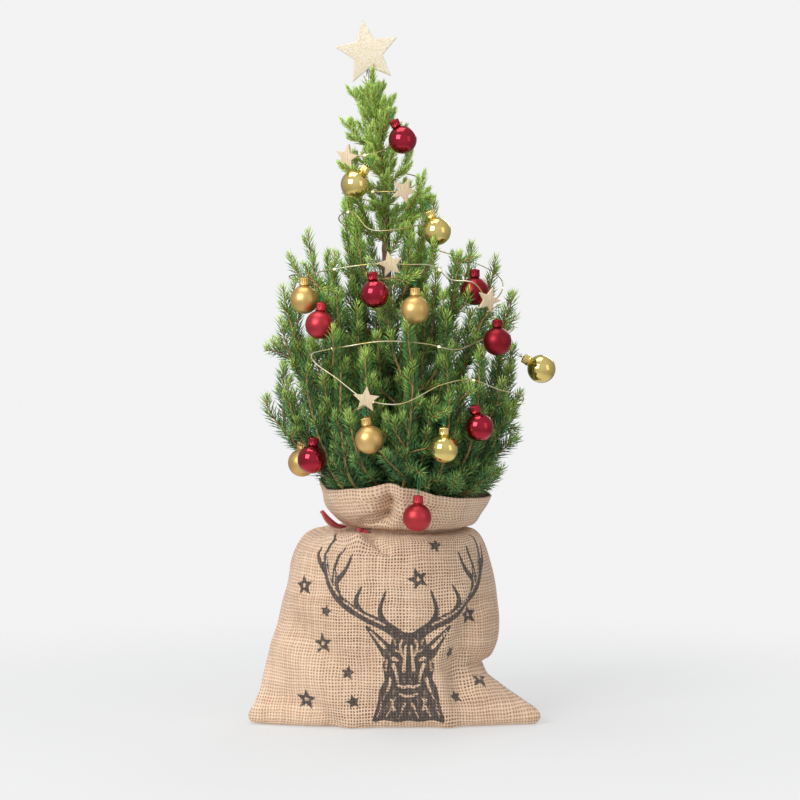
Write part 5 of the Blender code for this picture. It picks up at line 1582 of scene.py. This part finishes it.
# From the ball's centre up to its cap's shoulder, where the thread's clear space begins
CAP_TOP = 0.0190
POLE_BELOW_CENTRE = 0.0125
GREY_THREAD = 10
# Baubles partly behind needles: how far across and up from the centre the part in view lies
HALF_HIDDEN = {
    3: (0.002, 0.005), 6: (0.001, 0.005), 7: (0.003, 0.003), 8: (-0.006, 0.001), 13: (-0.002, 0.004),
}
STAR_NUMBERS = range(1, 6)
HALF_HIDDEN_STARS = (1, 2)


def bauble_frame(number):
    """Ball's centre, hanging point and the direction from one to the other."""
    hang = np.array(JOINTS[f"bauble_{number:02d}_swing"]["pos_m"])
    vertices = frame["nodes"][f"bauble_{number:02d}_ball"].data.vertices
    points = np.array([vertex.co for vertex in vertices])
    pole = points[int(np.argmax(np.linalg.norm(points - hang, axis=1)))]
    up = unit(hang - pole)
    return pole + up * POLE_BELOW_CENTRE, hang, up


def turned(profile, sides, centre, up, ribs=0, rib_depth=0.0, rib_rows=()):
    """A closed turned body: profile rows are (radius, height) from one pole to the other."""
    side = unit(np.cross(up, np.array([0.31, 0.83, 0.12])))
    turns = 2 * np.pi * np.arange(sides) / sides
    rings = []
    for row, (radius, height) in enumerate(profile[1:-1], start=1):
        reach = radius * (1 + rib_depth * np.cos(ribs * turns)) if row in rib_rows else np.full(sides, radius)
        rings.append(centre + up * height + reach[:, None] * circle(turns, side, np.cross(up, side)))
    poles = [centre + up * height for _, height in (profile[0], profile[-1])]
    points = np.vstack([poles[0], *rings, poles[1]])
    triangles = lattice(len(rings), sides, first=1)
    last = len(points) - 1 - sides
    for step in range(sides):
        after = (step + 1) % sides
        triangles.append((0, 1 + after, 1 + step))
        triangles.append((last + step, last + after, len(points) - 1))
    return points, np.array(triangles)


def bauble_look(finish):
    glossy = finish.startswith("gloss")
    look = Look(f"{finish}_look", roughness=0.07 if glossy else 0.36, metallic=0.95 if glossy else 0.80)
    dark, light = BAUBLE_COLOURS[finish]
    look.feed("Base Color", look.ramp(look.noise(90.0, 2.0), [(0.3, dark), (0.7, light)]))
    smudge = look.noise(160.0, 3.0)
    if glossy:
        look.feed("Roughness", look.spread(smudge, 0.35, 0.75, 0.045, 0.13))
        look.set("Coat Weight", 0.4)
        look.set("Coat Roughness", 0.04)
    else:
        look.feed("Roughness", look.spread(smudge, 0.3, 0.7, 0.32, 0.42))
        look.bump(look.noise(3600.0, 1.0), 0.00012, 0.35)
    return look.material


def thread_look(name, dark, light):
    look = Look(name, roughness=0.7)
    wave = {"Vector": look.place(), "Scale": 700.0, "Distortion": 0.6}
    twist = look.node("TexWave", wave, bands_direction="DIAGONAL")
    look.feed("Base Color", look.ramp(twist.outputs["Fac"], [(0.2, dark), (0.8, light)]))
    return look.material


def make_bauble(number, finish, looks, threads):
    ball, hang, up = bauble_frame(number)
    body = f"bauble_{number:02d}"
    neck_angle = math.radians(70)
    profile = [(0.0, -BALL_RADIUS)]
    for angle in np.linspace(math.radians(-87), neck_angle, 44):
        profile.append((BALL_RADIUS * math.cos(angle), BALL_RADIUS * math.sin(angle)))
    base = BALL_RADIUS * math.sin(neck_angle)
    profile += [(0.0041, base + 0.00045), (0.0038, base + 0.0009), (0.0, base + 0.0009)]
    shape, faces = turned(profile, 64, ball, up)
    globe = array_object(f"{body}_globe", shape, faces, [looks[finish]])
    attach(globe, body)
    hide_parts(f"{body}_ball")
    low, high = base + 0.00095, base + 0.0076
    profile = [
        (0.0, low), (0.0046, low), (0.00495, low + 0.0003), (0.00495, low + 0.0008), (0.00455, low + 0.0012),
        (0.00435, low + 0.0018), (0.00430, high - 0.0012), (0.00435, high - 0.0006), (0.0039, high - 0.0001),
        (0.0021, high + 0.0001), (0.0012, high + 0.0005), (0.0, high + 0.0006),
    ]
    shape, faces = turned(profile, 96, ball, up, ribs=16, rib_depth=0.045, rib_rows=(5, 6, 7))
    parts = Parts()
    parts.add((shape, faces))
    eye_centre = ball + up * (high + 0.0010)
    side = unit(np.cross(up, np.array([0.2, 1.0, 0.1])))
    eye_path = eye_centre + 0.0010 * circle(np.linspace(0, 2 * np.pi, 25), side, up)
    parts.add(tube_mesh(eye_path, np.full(25, 0.00022), 8))
    depth = np.cross(side, up)
    foot = eye_centre + up * 0.0008
    for sign in (-1.0, 1.0):
        bulge = sign * 0.0009
        line = [foot - up * 0.0006, foot + (hang - foot) * 0.25 + side * bulge,
                foot + (hang - foot) * 0.6 + side * bulge * 1.3,
                hang - up * 0.0004 + side * sign * 0.0006, hang + up * 0.0006]
        parts.add(tube_mesh(smooth_curve(line, 20), np.full(20, 0.00030), 6), 1)
    for sign, droop in ((1.0, 0.0), (-1.0, 0.5)):
        end = foot + side * sign * 0.0022 + depth * 0.0008 + up * (0.0022 - droop * 0.001)
        line = [foot, foot + side * sign * 0.001 + up * 0.001, end]
        parts.add(tube_mesh(smooth_curve(line, 8), np.full(8, 0.00026), 6), 1)
    thread = threads[1] if number == GREY_THREAD else threads[0]
    cap = parts.joined(f"{body}_hanger", [looks[finish], thread])
    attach(cap, body)
    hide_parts(f"{body}_cap")


def make_baubles():
    looks = {finish: bauble_look(finish) for finish in sorted(set(BAUBLE_FINISHES))}
    threads = (
        thread_look("green_thread", (0.004, 0.150, 0.050), (0.030, 0.330, 0.120)),
        thread_look("grey_thread", (0.10, 0.11, 0.10), (0.26, 0.27, 0.25)),
    )
    for index, finish in enumerate(BAUBLE_FINISHES):
        make_bauble(index + 1, finish, looks, threads)


# ---------------------------------------------------------------- wooden stars, topper, battery case, pot

def softened(node, name, look, width, segments=3):
    """A copy of a CAD node with its edges rounded, standing for the node."""
    mesh = frame["nodes"][node].data.copy()
    mesh.name = name
    made = linked(name, mesh)
    build = bmesh.new()
    build.from_mesh(mesh)
    bmesh.ops.remove_doubles(build, verts=build.verts, dist=2e-6)
    bmesh.ops.dissolve_limit(build, angle_limit=0.02, verts=build.verts, edges=build.edges)
    build.to_mesh(mesh)
    build.free()
    mesh.materials.clear()
    mesh.materials.append(look)
    mesh.shade_smooth()
    rounding = made.modifiers.new("rounding", "BEVEL")
    rounding.width = width
    rounding.segments = segments
    rounding.limit_method = "ANGLE"
    rounding.angle_limit = math.radians(30)
    rounding.harden_normals = True
    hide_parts(node)
    return made


def wood_look():
    look = Look("wood_look", roughness=0.66)
    wave = {"Vector": look.place((1.0, 1.0, 0.12)), "Scale": 300.0, "Distortion": 5.0,
            "Detail": 2.0, "Detail Scale": 2.0}
    rings = look.node("TexWave", wave, wave_type="BANDS", bands_direction="X")
    speck = look.noise(1500.0, 2.0, look.place((1.0, 1.0, 0.2)))
    tone = look.math("MULTIPLY_ADD", speck, 0.45, look.math("MULTIPLY", rings.outputs["Fac"], 0.55))
    look.feed("Base Color", look.ramp(tone, [(0.2, (0.560, 0.400, 0.225)), (0.8, (0.860, 0.720, 0.500))]))
    look.bump(tone, 0.00015, 0.5)
    return look.material


def glitter_look():
    look = Look("glitter_look", roughness=0.45)
    flakes = look.node("TexVoronoi", {"Vector": look.place(), "Scale": 2400.0})
    spark = look.node("SeparateColor", {"Color": flakes.outputs["Color"]})
    look.feed("Base Color", look.ramp(spark.outputs["Red"], [
        (0.10, (0.700, 0.540, 0.320)), (0.45, (0.900, 0.780, 0.560)), (0.85, (0.980, 0.920, 0.780)),
    ]))
    look.feed("Roughness", look.spread(spark.outputs["Green"], 0.0, 1.0, 0.16, 0.60, smooth=False))
    height = look.math("MULTIPLY_ADD", spark.outputs["Blue"], 0.8, flakes.outputs["Distance"])
    look.bump(height, 0.0003, 0.6)
    return look.material


def plastic_look(name, dark, light, roughness):
    look = Look(name, roughness=roughness)
    mottle = look.noise(120.0, 3.0)
    look.feed("Base Color", look.ramp(mottle, [(0.3, dark), (0.7, light)]))
    grain = look.noise(2600.0, 1.0)
    look.feed("Roughness", look.spread(mottle, 0.3, 0.7, roughness - 0.06, roughness + 0.06))
    look.bump(grain, 0.00006, 0.4)
    return look.material


def steel_look():
    look = Look("steel_look", roughness=0.3, metallic=1.0)
    brushed = look.noise(900.0, 2.0, look.place((1.0, 1.0, 0.05)))
    look.feed("Base Color", look.ramp(brushed, [(0.3, (0.46, 0.46, 0.47)), (0.7, (0.68, 0.68, 0.68))]))
    look.feed("Roughness", look.spread(brushed, 0.3, 0.7, 0.22, 0.40))
    return look.material


def cast_look():
    look = Look("cast_look", roughness=0.9)
    sand = look.noise(700.0, 4.0)
    look.feed("Base Color", look.ramp(sand, [(0.3, (0.20, 0.19, 0.17)), (0.7, (0.42, 0.40, 0.36))]))
    look.bump(sand, 0.0006, 0.7)
    return look.material


def make_small_pieces():
    wood = wood_look()
    stars = []
    for number in STAR_NUMBERS:
        star = softened(f"wood_star_{number}", f"pale_star_{number}", wood, 0.00035)
        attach(star, "tree")
        stars.append(star)
    star = softened("topper_star", "glitter_star", glitter_look(), 0.0007)
    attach(star, "topper")
    shell = plastic_look("case_look", (0.62, 0.62, 0.60), (0.74, 0.74, 0.71), 0.46)
    dark = plastic_look("switch_look", (0.018, 0.018, 0.020), (0.040, 0.040, 0.042), 0.42)
    for node, name, look, body, slot in (
        ("battery_case", "light_case", shell, "tree", "case_plastic"),
        ("battery_lid", "light_lid", shell, "lid", "case_plastic"),
        ("battery_switch", "light_switch", dark, "switch", "switch_plastic"),
    ):
        piece = softened(node, name, look, 0.0003, 2)
        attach(piece, body)
    steel = steel_look()
    pot = plastic_look("pot_look", (0.012, 0.012, 0.012), (0.030, 0.029, 0.028), 0.55)
    for node, look in (("topper_pick", steel), ("coin_cell_1", steel), ("coin_cell_2", steel), ("pot", pot),
                       ("weight", cast_look())):
        materials = frame["nodes"][node].data.materials
        materials.clear()
        materials.append(look)
    return stars


make_studio()
wire, wire_points = make_light_wire()
beads = make_beads(wire_points)
MOVING_CLEAR = moving_clear_table()
LID_CLEAR = lid_clear_table()
KEEP_CLEAR = np.concatenate([still_clear_table(), MOVING_CLEAR, LID_CLEAR])
stars = make_small_pieces()
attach(wire, "tree")
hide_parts("light_wire")
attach(beads, "tree")
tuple(WIRE_ROUTE[0])
round(path_length(wire_points), 3)
make_sack()
make_ribbon()
make_trunk()
make_foliage()
make_baubles()
